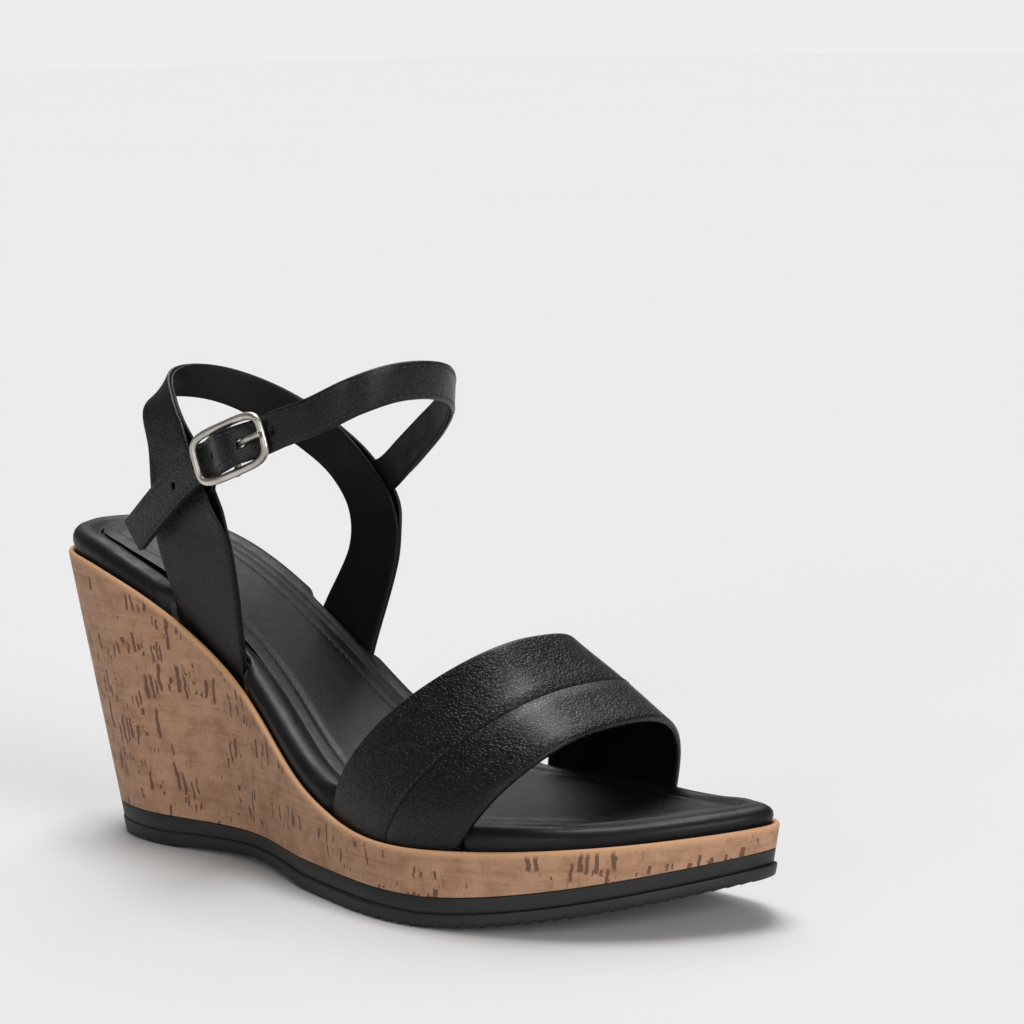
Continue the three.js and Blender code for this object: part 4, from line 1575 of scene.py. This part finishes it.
@dataclass
class Sole:
    """The outsole and the cork-covered wedge.

    Args:
        heel_ledge: how far the outsole's lower band stands out at the heel.
        toe_ledge: how far it stands out at the toe.
        notch: depth of the grooves across the tread.
        notch_start: where the grooves begin.
        band_share: the lower band's share of the outsole's thickness.
        cork: thickness of the cork.
        lip: radius of the cork's top edge.
    """

    heel_ledge: float = 0.35
    toe_ledge: float = 1.1
    notch: float = 0.7
    notch_start: float = 118.0
    band_share: float = 0.51
    cork: float = 2.0
    lip: float = 1.0

    def level(self, share: float) -> Height:
        """Gives the height at a share of the outsole's thickness."""
        return lambda x: lerp(SOLE.tread_height(x), SOLE.outsole_top(x), share)

    def ring(self, share: float, inset: float, proud: float) -> Ring:
        """Gives a ring of the outsole at a share of its thickness, moved out by a share of the ledge.

        Args:
            share: the share of the outsole's thickness.
            inset: how far inwards.
            proud: the share of the ledge.

        Returns:
            The ring.
        """
        ring = []
        for index, place in enumerate(PLAN):
            along = clamp((place.rim.x + SOLE.heel_back) / (SOLE.toe_tip + SOLE.heel_back))
            ledge = lerp(self.heel_ledge, self.toe_ledge, smooth(along))
            grooved = share < 0.1 and index % 2 and place.rim.x > self.notch_start
            height = self.level(share)(place.rim.x) + (self.notch if grooved else 0.0)
            ring.append(wall_point(place, height, inset - proud * ledge))
        return ring

    def outsole(self) -> None:
        """Makes the rubber outsole: a lower band with a rounded top edge, a groove and the upper band."""
        band = self.band_share
        steps = [
            (0.0, 0.7, 1.0), (0.03, 0.25, 1.0), (0.09, 0.03, 1.0), (0.2, 0.0, 1.0), (band - 0.11, 0.0, 1.0),
            (band - 0.06, 0.08, 0.95), (band - 0.035, 0.15, 0.7), (band - 0.025, 0.22, 0.0),
            (band + 0.015, 0.22, 0.0), (band + 0.025, 0.0, 0.0), (0.97, 0.0, 0.0), (1.0, 0.2, 0.0),
        ]
        rings = [self.ring(*step) for step in steps]
        piece = loft("outsole_rubber", rings, Ends.STRIPS, 38.0)
        dress(piece, Finish.RUBBER)
        settle(piece, "shoe", "rubber", "outsole")

    @staticmethod
    def foot(x: float) -> float:
        """Gives the height of the cork's lower edge at a station, just clear of the outsole."""
        return SOLE.outsole_top(x) + 0.15

    def wrap(self) -> None:
        """Makes the cork veneer with its rounded lip, whose top edge is marked for a painted highlight."""
        turns = [math.pi * i / 8 for i in range(9)]
        middle = self.cork / 2
        lip = [(above_rim(-self.lip + self.lip * math.sin(a)), middle - middle * math.cos(a)) for a in turns]
        rings = [wall_ring(self.foot, 0.0), wall_ring(above_rim(-2.2), 0.0)]
        rings += [wall_ring(height, inset) for height, inset in lip]
        rings += [wall_ring(self.foot, self.cork)]
        piece = loft("cork_veneer", rings, Ends.JOINED, 50.0)
        # The lip mark tells the material where to paint the top edge paler: a painted highlight.
        mark(piece, "lip", lambda p: smooth((p.z - SOLE.rim_height(p.x) + 1.5) / 0.8))
        self.unroll(piece, rings)
        dress(piece, Finish.CORK)
        settle(piece, "shoe", "cork", "cork_wrap")

    @staticmethod
    def unroll(piece: Piece, rings: Sequence[Ring]) -> None:
        """Stores each corner's place on the flat veneer: along the outline and up the wall.

        Args:
            piece: the veneer.
            rings: the rings that it was made through.
        """
        steps = [(b.rim - a.rim + b.floor - a.floor).length / 2 for a, b in zip(PLAN, [*PLAN[1:], PLAN[0]])]
        along = [sum(steps[:k]) for k in range(PLAN_COUNT + 1)]
        tree = KDTree(len(rings) * PLAN_COUNT)
        for ring in rings:
            for index, point in enumerate(ring):
                tree.insert(point * MM, index)
        tree.balance()
        index_of = [tree.find(v.co)[1] for v in piece.data.vertices]
        layer = piece.data.attributes.new("veneer", "FLOAT_VECTOR", "CORNER")
        for face in piece.data.polygons:
            indices = [index_of[v] for v in face.vertices]
            closing = max(indices) - min(indices) > PLAN_COUNT // 2
            for loop, vertex, index in zip(face.loop_indices, face.vertices, indices):
                station = along[index + PLAN_COUNT if closing and index == 0 else index] * MM
                layer.data[loop].vector = (station, piece.data.vertices[vertex].co.z, 0.0)

    def build(self) -> None:
        """Makes the sole's pieces and dresses the hidden ones."""
        self.outsole()
        self.wrap()
        dress_node("wedge_core", Finish.CORE)
        dress_node("insole_board", Finish.BOARD)
        dress_node("footbed_foam", Finish.FOAM)
        for node in ("steel_shank", "shank_rivet_rear", "shank_rivet_front"):
            dress_node(node, Finish.STEEL)


@dataclass
class Footbed:
    """The padded footbed: a rolled leather rim round a stitched sock pad.

    Args:
        rise: height of the rolled rim over the cork.
        toe_rise: its height at the toe.
        rim_width: width of the roll.
        recess: depth of the groove beside the sock pad.
        crown: how far the sock pad swells over its edge.
        overlap: how far the roll's inner wall stands under the pad's edge.
        channel: how far the stitched channel lies from the pad's edge.
        channel_depth: how deep it is drawn in.
        sunk: how far the pad's edge lies under the roll's top at the heel.
        toe_sunk: how far at the toe.
        thickness: thickness of the pad.
    """

    rise: float = 7.0
    toe_rise: float = 4.8
    rim_width: float = 8.0
    recess: float = 1.8
    crown: float = 1.3
    overlap: float = 0.9
    channel: float = 4.6
    channel_depth: float = 0.55
    sunk: float = 1.25
    toe_sunk: float = 0.6
    thickness: float = 1.6

    @property
    def pad_inset(self) -> float:
        """Distance from the cork's rim to the pad's edge."""
        return CORE_INSET + self.rim_width + self.overlap

    def rim_ring(self, rise: float, inset: float, pressed: float) -> Ring:
        """Gives a ring of the roll, drawn in where straps press it.

        Args:
            rise: height over the cork's rim.
            inset: how far inwards.
            pressed: how much further under a strap.

        Returns:
            The ring.
        """
        ring = []
        for place in PLAN:
            drawn = inset + pressed * pinch(place)
            settled = rise * self.settling(place.rim.x) if rise > 0 else rise
            ring.append(wall_point(place, SOLE.rim_height(place.rim.x) + settled, drawn))
        return ring

    def settling(self, x: float) -> float:
        """Share of the footbed's full height at a station: it is thinner at the toe."""
        return lerp(1, self.toe_rise / self.rise, smooth((x - 150) / 60))

    def rim(self) -> None:
        """Makes the leather over the foam: a full round roll that dips to the sock pad."""
        start, rise, width = CORE_INSET, self.rise, self.rim_width
        outline = [
            (-2.9, 0.1, 3.6), (0.8, 0.0, 3.6), (rise * 0.35, -0.25, 3.7), (rise * 0.6, 0.1, 3.6),
            (rise * 0.8, 0.9, 3.1), (rise * 0.93, 2.0, 2.3), (rise, 3.5, 1.2), (rise * 1.0, 4.8, 0.5),
            (rise * 0.96, 6.0, 0.1), (rise * 0.87, 7.0, 0.0), (rise - self.recess - 0.1, width - 0.1, 0.0),
            (rise - self.recess - 0.3, width + 0.8, 0.0), (-2.6, width + self.overlap, 0.0),
        ]
        rings = [self.rim_ring(height, start + inset, pressed) for height, inset, pressed in outline]
        piece = loft("footbed_roll", rings, Ends.JOINED, 60.0)
        dress(piece, Finish.FOOTBED)
        settle(piece, "shoe", "lining", "footbed_cover")

    def pad_height(self, x: float, distance: float) -> float:
        """Gives the pad's height at a station and a distance from its edge.

        Args:
            x: the station.
            distance: the distance from the pad's edge.

        Returns:
            The height.
        """
        swell = self.crown * (1 - math.exp(-distance / 4.5))
        channel = self.channel_depth * math.exp(-(((distance - self.channel) / 0.7) ** 2))
        sunk = lerp(self.sunk, self.toe_sunk, smooth((x - 140) / 50))
        top = SOLE.rim_height(x) + self.rise * self.settling(x)
        return top - sunk + swell * sunk / self.sunk - channel

    def pad_edge(self) -> Ring:
        """Gives the pad's outline in plan."""
        edge = [place.rim - place.out * self.pad_inset for place in PLAN]
        return [Vector((p.x, p.y, 0)) for p in edge]

    @staticmethod
    def edge_tree(edge: Sequence[Vector]) -> KDTree:
        """Puts an outline's points, closely spaced, into a tree that finds the nearest one.

        Args:
            edge: the outline.

        Returns:
            The tree.
        """
        close = [a.lerp(b, k / 6) for a, b in zip(edge, [*edge[1:], edge[0]]) for k in range(6)]
        tree = KDTree(len(close))
        for index, point in enumerate(close):
            tree.insert(point, index)
        tree.balance()
        return tree

    def pad(self) -> None:
        """Makes the sock pad as a grid drawn over the footbed's outline, swollen over its edge."""
        edge = self.pad_edge()
        tree = self.edge_tree(edge)
        half = PLAN_COUNT // 2
        shares = self.across_shares()
        bm = bmesh.new()
        bmesh.ops.create_grid(bm, x_segments=half - 2, y_segments=len(shares) - 1, size=1)
        rows = sorted(bm.verts, key=lambda v: (round(v.co.x, 5), round(v.co.y, 5)))
        for index, vertex in enumerate(rows):
            i, j = divmod(index, len(shares))
            point = edge[i + 1].lerp(edge[-(i + 1)], shares[j])
            distance = tree.find(point)[2]
            vertex.co = Vector((point.x, point.y, self.pad_height(point.x, distance))) * MM
        piece = finish_mesh(bm, "sock_pad", 60.0)
        self.thicken(piece)
        dress(piece, Finish.FOOTBED)
        settle(piece, "shoe", "lining", "sock_lining")

    @staticmethod
    def across_shares() -> list[float]:
        """Spaces the pad's rows, close together where the stitched channel runs."""
        near = [0.0, 0.012, 0.03, 0.055, 0.075, 0.09, 0.105, 0.12, 0.14, 0.17, 0.21, 0.27, 0.34, 0.42]
        return near + [0.5] + [1 - s for s in reversed(near)]

    def thicken(self, piece: Piece) -> None:
        """Closes the pad underneath and rounds its edge.

        Args:
            piece: the pad's top.
        """
        wall = piece.modifiers.new("thickness", "SOLIDIFY")
        wall.thickness = self.thickness * MM
        wall.offset = -1
        edge = piece.modifiers.new("edge", "BEVEL")
        edge.width = 0.5 * MM
        edge.segments = 3
        edge.angle_limit = math.radians(50)
        freeze(piece)

    def stitches(self) -> None:
        """Sews the pad along its channel."""

        def line(t: float) -> tuple[Vector, Vector]:
            """Gives a point of the channel and the way up.

            Args:
                t: place round the channel, from 0 to 1.

            Returns:
                The point and the way up.
            """
            place = PLAN[round(t * PLAN_COUNT) % PLAN_COUNT]
            point = place.rim - place.out * (self.pad_inset + self.channel)
            height = self.pad_height(point.x, self.channel) - 0.02
            return Vector((point.x, point.y, height)), Vector((0, 0, 1))

        seam = Seam(pitch=2.9, length=1.9, thread=0.22)
        piece = seam.thread_piece("sock_stitches", seam.spots(line, PLAN_COUNT))
        dress(piece, Finish.THREAD)
        settle(piece, "shoe", "lining")

    def build(self) -> None:
        """Makes the footbed's pieces."""
        self.rim()
        self.pad()
        self.stitches()


# ------------------------------------------------------------------------------------------------
# The straps
# ------------------------------------------------------------------------------------------------

TOP = LAYER_GAP / 2 + OUTER_LEATHER
UNDER = -LAYER_GAP / 2 - LINING_LEATHER
SKIN_GAP = 0.03
SEAM_GAP = 0.0012


@dataclass
class ToeStrap:
    """The toe strap: two panels sewn edge to edge over one lining."""

    steps: int = 220

    def panel(self, name: str, node: str, start: float, end: float, front: bool) -> Strip:
        """Makes one panel, with its free edge folded under and its seam edge rolled down.

        Args:
            name: the piece's name.
            node: the CAD node it stands for.
            start: share of the strap's width where it starts.
            end: share where it ends.
            front: whether it is the front panel.

        Returns:
            The panel's layer.
        """
        strip = Strip(VAMP, start, end, self.steps)
        profile = folded_profile(UNDER, TOP, 0.1, 22.0, 3.2, fold_start=front, fold_end=not front)
        piece = strip.solid(name, profile)
        dress(piece, Finish.UPPER)
        settle(piece, "shoe", "leather", node)
        return strip

    def build(self) -> None:
        """Makes the panels, the lining and the thread."""
        seam_share = VAMP.seam_share
        self.panel("toe_panel_front", "vamp_front_panel", 0.0, seam_share - SEAM_GAP, True)
        rear = self.panel("toe_panel_rear", "vamp_rear_panel", seam_share + SEAM_GAP, 1.0, False)
        lining = Strip(VAMP, 0.07, 0.93, self.steps)
        piece = lining.solid("toe_strap_lining", plain_profile(UNDER, -SKIN_GAP, 36.0))
        dress(piece, Finish.LINING)
        settle(piece, "shoe", "lining", "vamp_lining")
        seam = Seam(pitch=2.5, length=1.6, thread=0.24)
        spots = seam.spots(strip_line(rear, 1.1, TOP + 0.02, True, 0.07, 0.93), 400)
        thread = seam.thread_piece("toe_strap_stitches", spots)
        dress(thread, Finish.THREAD)
        settle(thread, "shoe", "leather")


@dataclass
class BackStrap:
    """The strap round the heel, folded at its edges and lined."""

    steps: int = 260

    def build(self) -> None:
        """Makes the strap's two layers."""
        outer = Strip(SLING, 0.0, 1.0, self.steps, lift=sling_room)
        piece = outer.solid("back_strap_leather", folded_profile(0.0, TOP, 0.12, 10.0, 2.4))
        dress(piece, Finish.STRAP)
        settle(piece, "shoe", "leather", "back_strap_outer")
        lining = Strip(SLING, 0.0, 1.0, self.steps, lift=lambda u, v: -sling_room(u, v))
        piece = lining.solid("back_strap_lining_leather", plain_profile(UNDER, -SKIN_GAP, 10.0))
        dress(piece, Finish.LINING)
        settle(piece, "shoe", "lining", "back_strap_lining")


@dataclass
class AnkleStrap:
    """The ankle strap with its punched holes, whose fixed end is where the real strap bends as it swings.

    Args:
        hole: radius of a punched hole.
        pitch: distance between holes.
        prong_hole: where the prong passes, ahead of the centre bar.
        slanted_hole: radius of the hole that the prong lies in.
        punch_length: length of the punch, which goes through both layers.
        bend_start: where the strap begins to bend as it swings.
        bend_way: the way from there to where the bend ends.
        steps: count of sections along the strap.
    """

    hole: float = 1.1
    pitch: float = 12.0
    prong_hole: float = 6.2
    slanted_hole: float = 1.3
    punch_length: float = 9.0
    bend_start: tuple[float, float, float] = (57.0, 32.2, 111.3)
    bend_way: tuple[float, float, float] = (5.0, -7.5, 2.5)
    steps: int = 420

    def bend(self, piece: Piece) -> None:
        """Bakes a finished piece's placement into its mesh; no bend is made.

        Args:
            piece: the piece.
        """
        start = Vector(self.bend_start)
        end = start + Vector(self.bend_way)
        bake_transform(piece)

    def cutter(self) -> Piece:
        """Makes the punch for every hole, with a slanted one for the prong.

        Returns:
            The punch.
        """
        bm = bmesh.new()
        for k in (-3, -2, -1, 1):
            point, _, out = ANKLE.frame(ANKLE.parameter(self.prong_hole + k * self.pitch))
            rod(bm, point, out, self.hole, self.punch_length, 20)
        low, high = BUCKLE.place(3.6, 0, -1.6), BUCKLE.place(9.6, 0, 3.6)
        rod(bm, (low + high) / 2, high - low, self.slanted_hole, self.punch_length, 20)
        return finish_mesh(bm, "punch")

    def layer(self, name: str, node: str, low: float, high: float, finish: Finish, slot: str) -> None:
        """Makes one layer of the strap, punched, with its placement baked into its mesh.

        Args:
            name: the piece's name.
            node: the CAD node it stands for.
            low: height of its underside.
            high: height of its top.
            finish: its finish.
            slot: its material slot; not used.
        """
        strip = Strip(ANKLE, 0.0, 1.0, self.steps, thinning=skived)
        piece = strip.solid(name, plain_profile(low, high, ANKLE.width, 0.12 if high > 0 else 0.0))
        punch(piece, self.cutter())
        dress(piece, finish)
        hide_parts(node)
        self.bend(piece)
        LOG.info("%s bends between shoe and ankle_strap", name)

    def build(self) -> None:
        """Makes both layers and two rows of stitches."""
        self.layer("ankle_strap_leather", "ankle_strap_outer", SKIN_GAP, TOP, Finish.UPPER, "leather")
        self.layer("ankle_strap_lining_leather", "ankle_strap_lining", UNDER, -SKIN_GAP, Finish.LINING,
                   "lining")
        strip = Strip(ANKLE, 0.0, 1.0, self.steps)
        seam = Seam(pitch=2.6, length=1.8, thread=0.24)
        spots = [s for from_start in (True, False)
                 for s in seam.spots(strip_line(strip, 1.4, TOP + 0.06, from_start, 0.06, 0.985), 700)]
        thread = seam.thread_piece("ankle_strap_stitches", spots)
        dress(thread, Finish.THREAD)
        self.bend(thread)


# ------------------------------------------------------------------------------------------------
# The buckle
# ------------------------------------------------------------------------------------------------


@dataclass
class Buckle:
    """The cast buckle: a rounded frame with a centre bar, its prong, and the leather that holds it.

    Args:
        stud: radius of the bar's end studs.
        squareness: power of the frame's outline, where 2 is an oval and more is squarer.
        flatness: the rail's thickness as a share of its width.
        sections: count of sections round the frame.
        sides: count of points round the rail.
    """

    stud: float = 1.25
    squareness: float = 4.4
    flatness: float = 0.9
    sections: int = 96
    sides: int = 14

    def rail(self) -> list[Ring]:
        """Gives the sections round the frame's rail, a rounded rectangle of slightly flattened wire.

        Returns:
            The sections.
        """
        half_length = (BUCKLE.length - BUCKLE.wire) / 2
        half_width = (BUCKLE.width - BUCKLE.wire) / 2
        power = 2 / self.squareness
        rings = []
        for k in range(self.sections):
            a = 2 * math.pi * k / self.sections
            ahead = half_length * math.copysign(abs(math.cos(a)) ** power, math.cos(a))
            across = half_width * math.copysign(abs(math.sin(a)) ** power, math.sin(a))
            steep = self.squareness - 1
            slope = Vector((math.copysign(abs(ahead / half_length) ** steep / half_length, ahead),
                            math.copysign(abs(across / half_width) ** steep / half_width, across)))
            slope.normalize()
            ring = []
            for i in range(self.sides):
                b = 2 * math.pi * i / self.sides
                out = math.cos(b) * BUCKLE.wire / 2
                ring.append(BUCKLE.place(ahead + slope.x * out, across + slope.y * out,
                                         math.sin(b) * BUCKLE.wire * self.flatness / 2))
            rings.append(ring)
        return rings

    def fittings(self, bm: Mesh) -> None:
        """Adds the centre bar and its end studs to the frame.

        Args:
            bm: the frame's mesh.
        """
        end = (BUCKLE.width - BUCKLE.wire) / 2
        low, high = BUCKLE.place(0, -end, -BUCKLE.bar_inset), BUCKLE.place(0, end, -BUCKLE.bar_inset)
        rod(bm, (low + high) / 2, high - low, BUCKLE.bar_radius, (high - low).length, 18)
        for across in (-1, 1):
            for out in (-0.2, -0.9):
                middle = BUCKLE.place(0, across * end, out)
                spot = Matrix.Scale(MM, 4) @ Matrix.Translation(middle)
                bmesh.ops.create_uvsphere(bm, u_segments=16, v_segments=10, radius=self.stud, matrix=spot)

    def frame(self) -> None:
        """Melts the frame, its bar and the studs into one casting."""
        piece = loft("buckle_casting", self.rail(), Ends.JOINED)
        bm = bmesh.new()
        bm.from_mesh(piece.data)
        self.fittings(bm)
        bm.to_mesh(piece.data)
        bm.free()
        melt(piece, 0.22, 4)
        dress(piece, Finish.SILVER)
        settle(piece, "buckle", "silver", "buckle_frame")

    def prong(self) -> None:
        """Rounds the prong."""
        piece = cad_copy("buckle_prong", "buckle_pin")
        melt(piece, 0.16, 3)
        dress(piece, Finish.SILVER)
        settle(piece, "prong", "silver", "buckle_prong")

    def chape(self) -> None:
        """Softens the leather loop round the centre bar."""
        piece = cad_copy("buckle_chape", "buckle_loop")
        melt(piece, 0.28, 3)
        dress(piece, Finish.STRAP)
        settle(piece, "shoe", "leather", "buckle_chape")

    def build(self) -> None:
        """Makes the buckle's pieces."""
        self.frame()
        self.prong()
        self.chape()


# ------------------------------------------------------------------------------------------------
# The studio
# ------------------------------------------------------------------------------------------------


@dataclass(frozen=True)
class Studio:
    """A pale floor, soft light and the camera.

    Args:
        azimuth: the camera's place round the sandal, in degrees.
        elevation: its height over the horizon.
        roll: how far it leans.
        distance: how far it stands from its aim.
        aim: what it looks at.
        lens: focal length on a 36 mm sensor.
    """

    azimuth: float = 43.67
    elevation: float = 7.95
    roll: float = -1.26
    distance: float = 1029.29
    aim: tuple[float, float, float] = (140.35, 0.0, 109.92)
    lens: float = 127.94

    def camera(self) -> None:
        """Places the camera."""
        a, e, r = (math.radians(v) for v in (self.azimuth, self.elevation, self.roll))
        back = Vector((math.sin(a) * math.cos(e), -math.cos(a) * math.cos(e), math.sin(e)))
        level = Vector((math.cos(a), math.sin(a), 0))
        upright = back.cross(level)
        right = level * math.cos(r) + upright * math.sin(r)
        up = back.cross(right)
        place = (Vector(self.aim) + back * self.distance) * MM
        data = bpy.data.cameras.new("camera")
        data.lens = self.lens
        data.sensor_width = 36
        data.clip_start = 0.01
        camera = bpy.data.objects.new("camera", data)
        camera.matrix_world = Matrix.Translation(place) @ Matrix((right, up, back)).transposed().to_4x4()
        bpy.context.scene.collection.objects.link(camera)
        bpy.context.scene.camera = camera

    def floor(self) -> None:
        """Lays the floor."""
        bm = bmesh.new()
        bmesh.ops.create_grid(bm, x_segments=1, y_segments=1, size=12)
        floor = finish_mesh(bm, "floor")
        material, tree, shader, place = start_material("pale floor")
        cloud = add_node(tree, "TexNoise", {"Vector": place, "Scale": 1.5})
        shade = add_node(tree, "ValToRGB", {"Fac": cloud}, [(0.0, grey(0.675)), (1.0, grey(0.685))])
        feed(tree, shader, {"Base Color": shade, "Roughness": 0.9, "Specular IOR Level": 0.1})
        floor.data.materials.append(material)

    @staticmethod
    def lamp(name: str, way: tuple[float, float, float], spread: float, power: float) -> None:
        """Lights the whole floor evenly and softly from one way, as a wide panel does.

        Args:
            name: the lamp's name.
            way: the way to the lamp.
            spread: how wide it is, in degrees.
            power: its strength.
        """
        data = bpy.data.lights.new(name, "SUN")
        data.angle = math.radians(spread)
        data.energy = power
        lamp = bpy.data.objects.new(name, data)
        lamp.rotation_euler = (-Vector(way)).to_track_quat("-Z", "Y").to_euler()
        bpy.context.scene.collection.objects.link(lamp)

    @staticmethod
    def backdrop(seen: float, light: float) -> None:
        """Makes the pale backdrop, dimmer as a light than it looks, so that the blacks stay deep.

        Args:
            seen: how bright it looks.
            light: how bright it shines.
        """
        world = bpy.data.worlds.new("studio")
        world.use_nodes = True
        tree = world.node_tree
        dim = tree.nodes["Background"]
        feed(tree, dim, {"Color": grey(light)})
        pale = add_node(tree, "Background", {"Color": grey(seen)})
        seen_ray = add_node(tree, "LightPath").outputs["Is Camera Ray"]
        mix = add_node(tree, "MixShader", {0: seen_ray, 1: dim, 2: pale})
        feed(tree, tree.nodes["World Output"], {"Surface": mix})
        bpy.context.scene.world = world

    def build(self) -> None:
        """Sets the stage."""
        self.camera()
        self.floor()
        self.lamp("over", (-0.2, 0.15, 1.0), 26, 1.92)
        self.lamp("behind", (-0.45, 0.46, 0.75), 40, 1.09)
        self.lamp("front", (1.0, -0.15, 0.35), 35, 1.65)
        self.lamp("near", (0.25, -0.93, 0.22), 24, 0.5)
        self.backdrop(0.855, 0.17)
        bpy.context.scene.view_settings.view_transform = "Standard"


def main() -> None:
    """Builds the sandal, piece by piece."""
    logging.basicConfig(level=logging.INFO, format="%(name)s: %(message)s")
    Studio().build()
    Sole().build()
    Footbed().build()
    ToeStrap().build()
    BackStrap().build()
    AnkleStrap().build()
    Buckle().build()


if __name__ == "__main__":
    main()
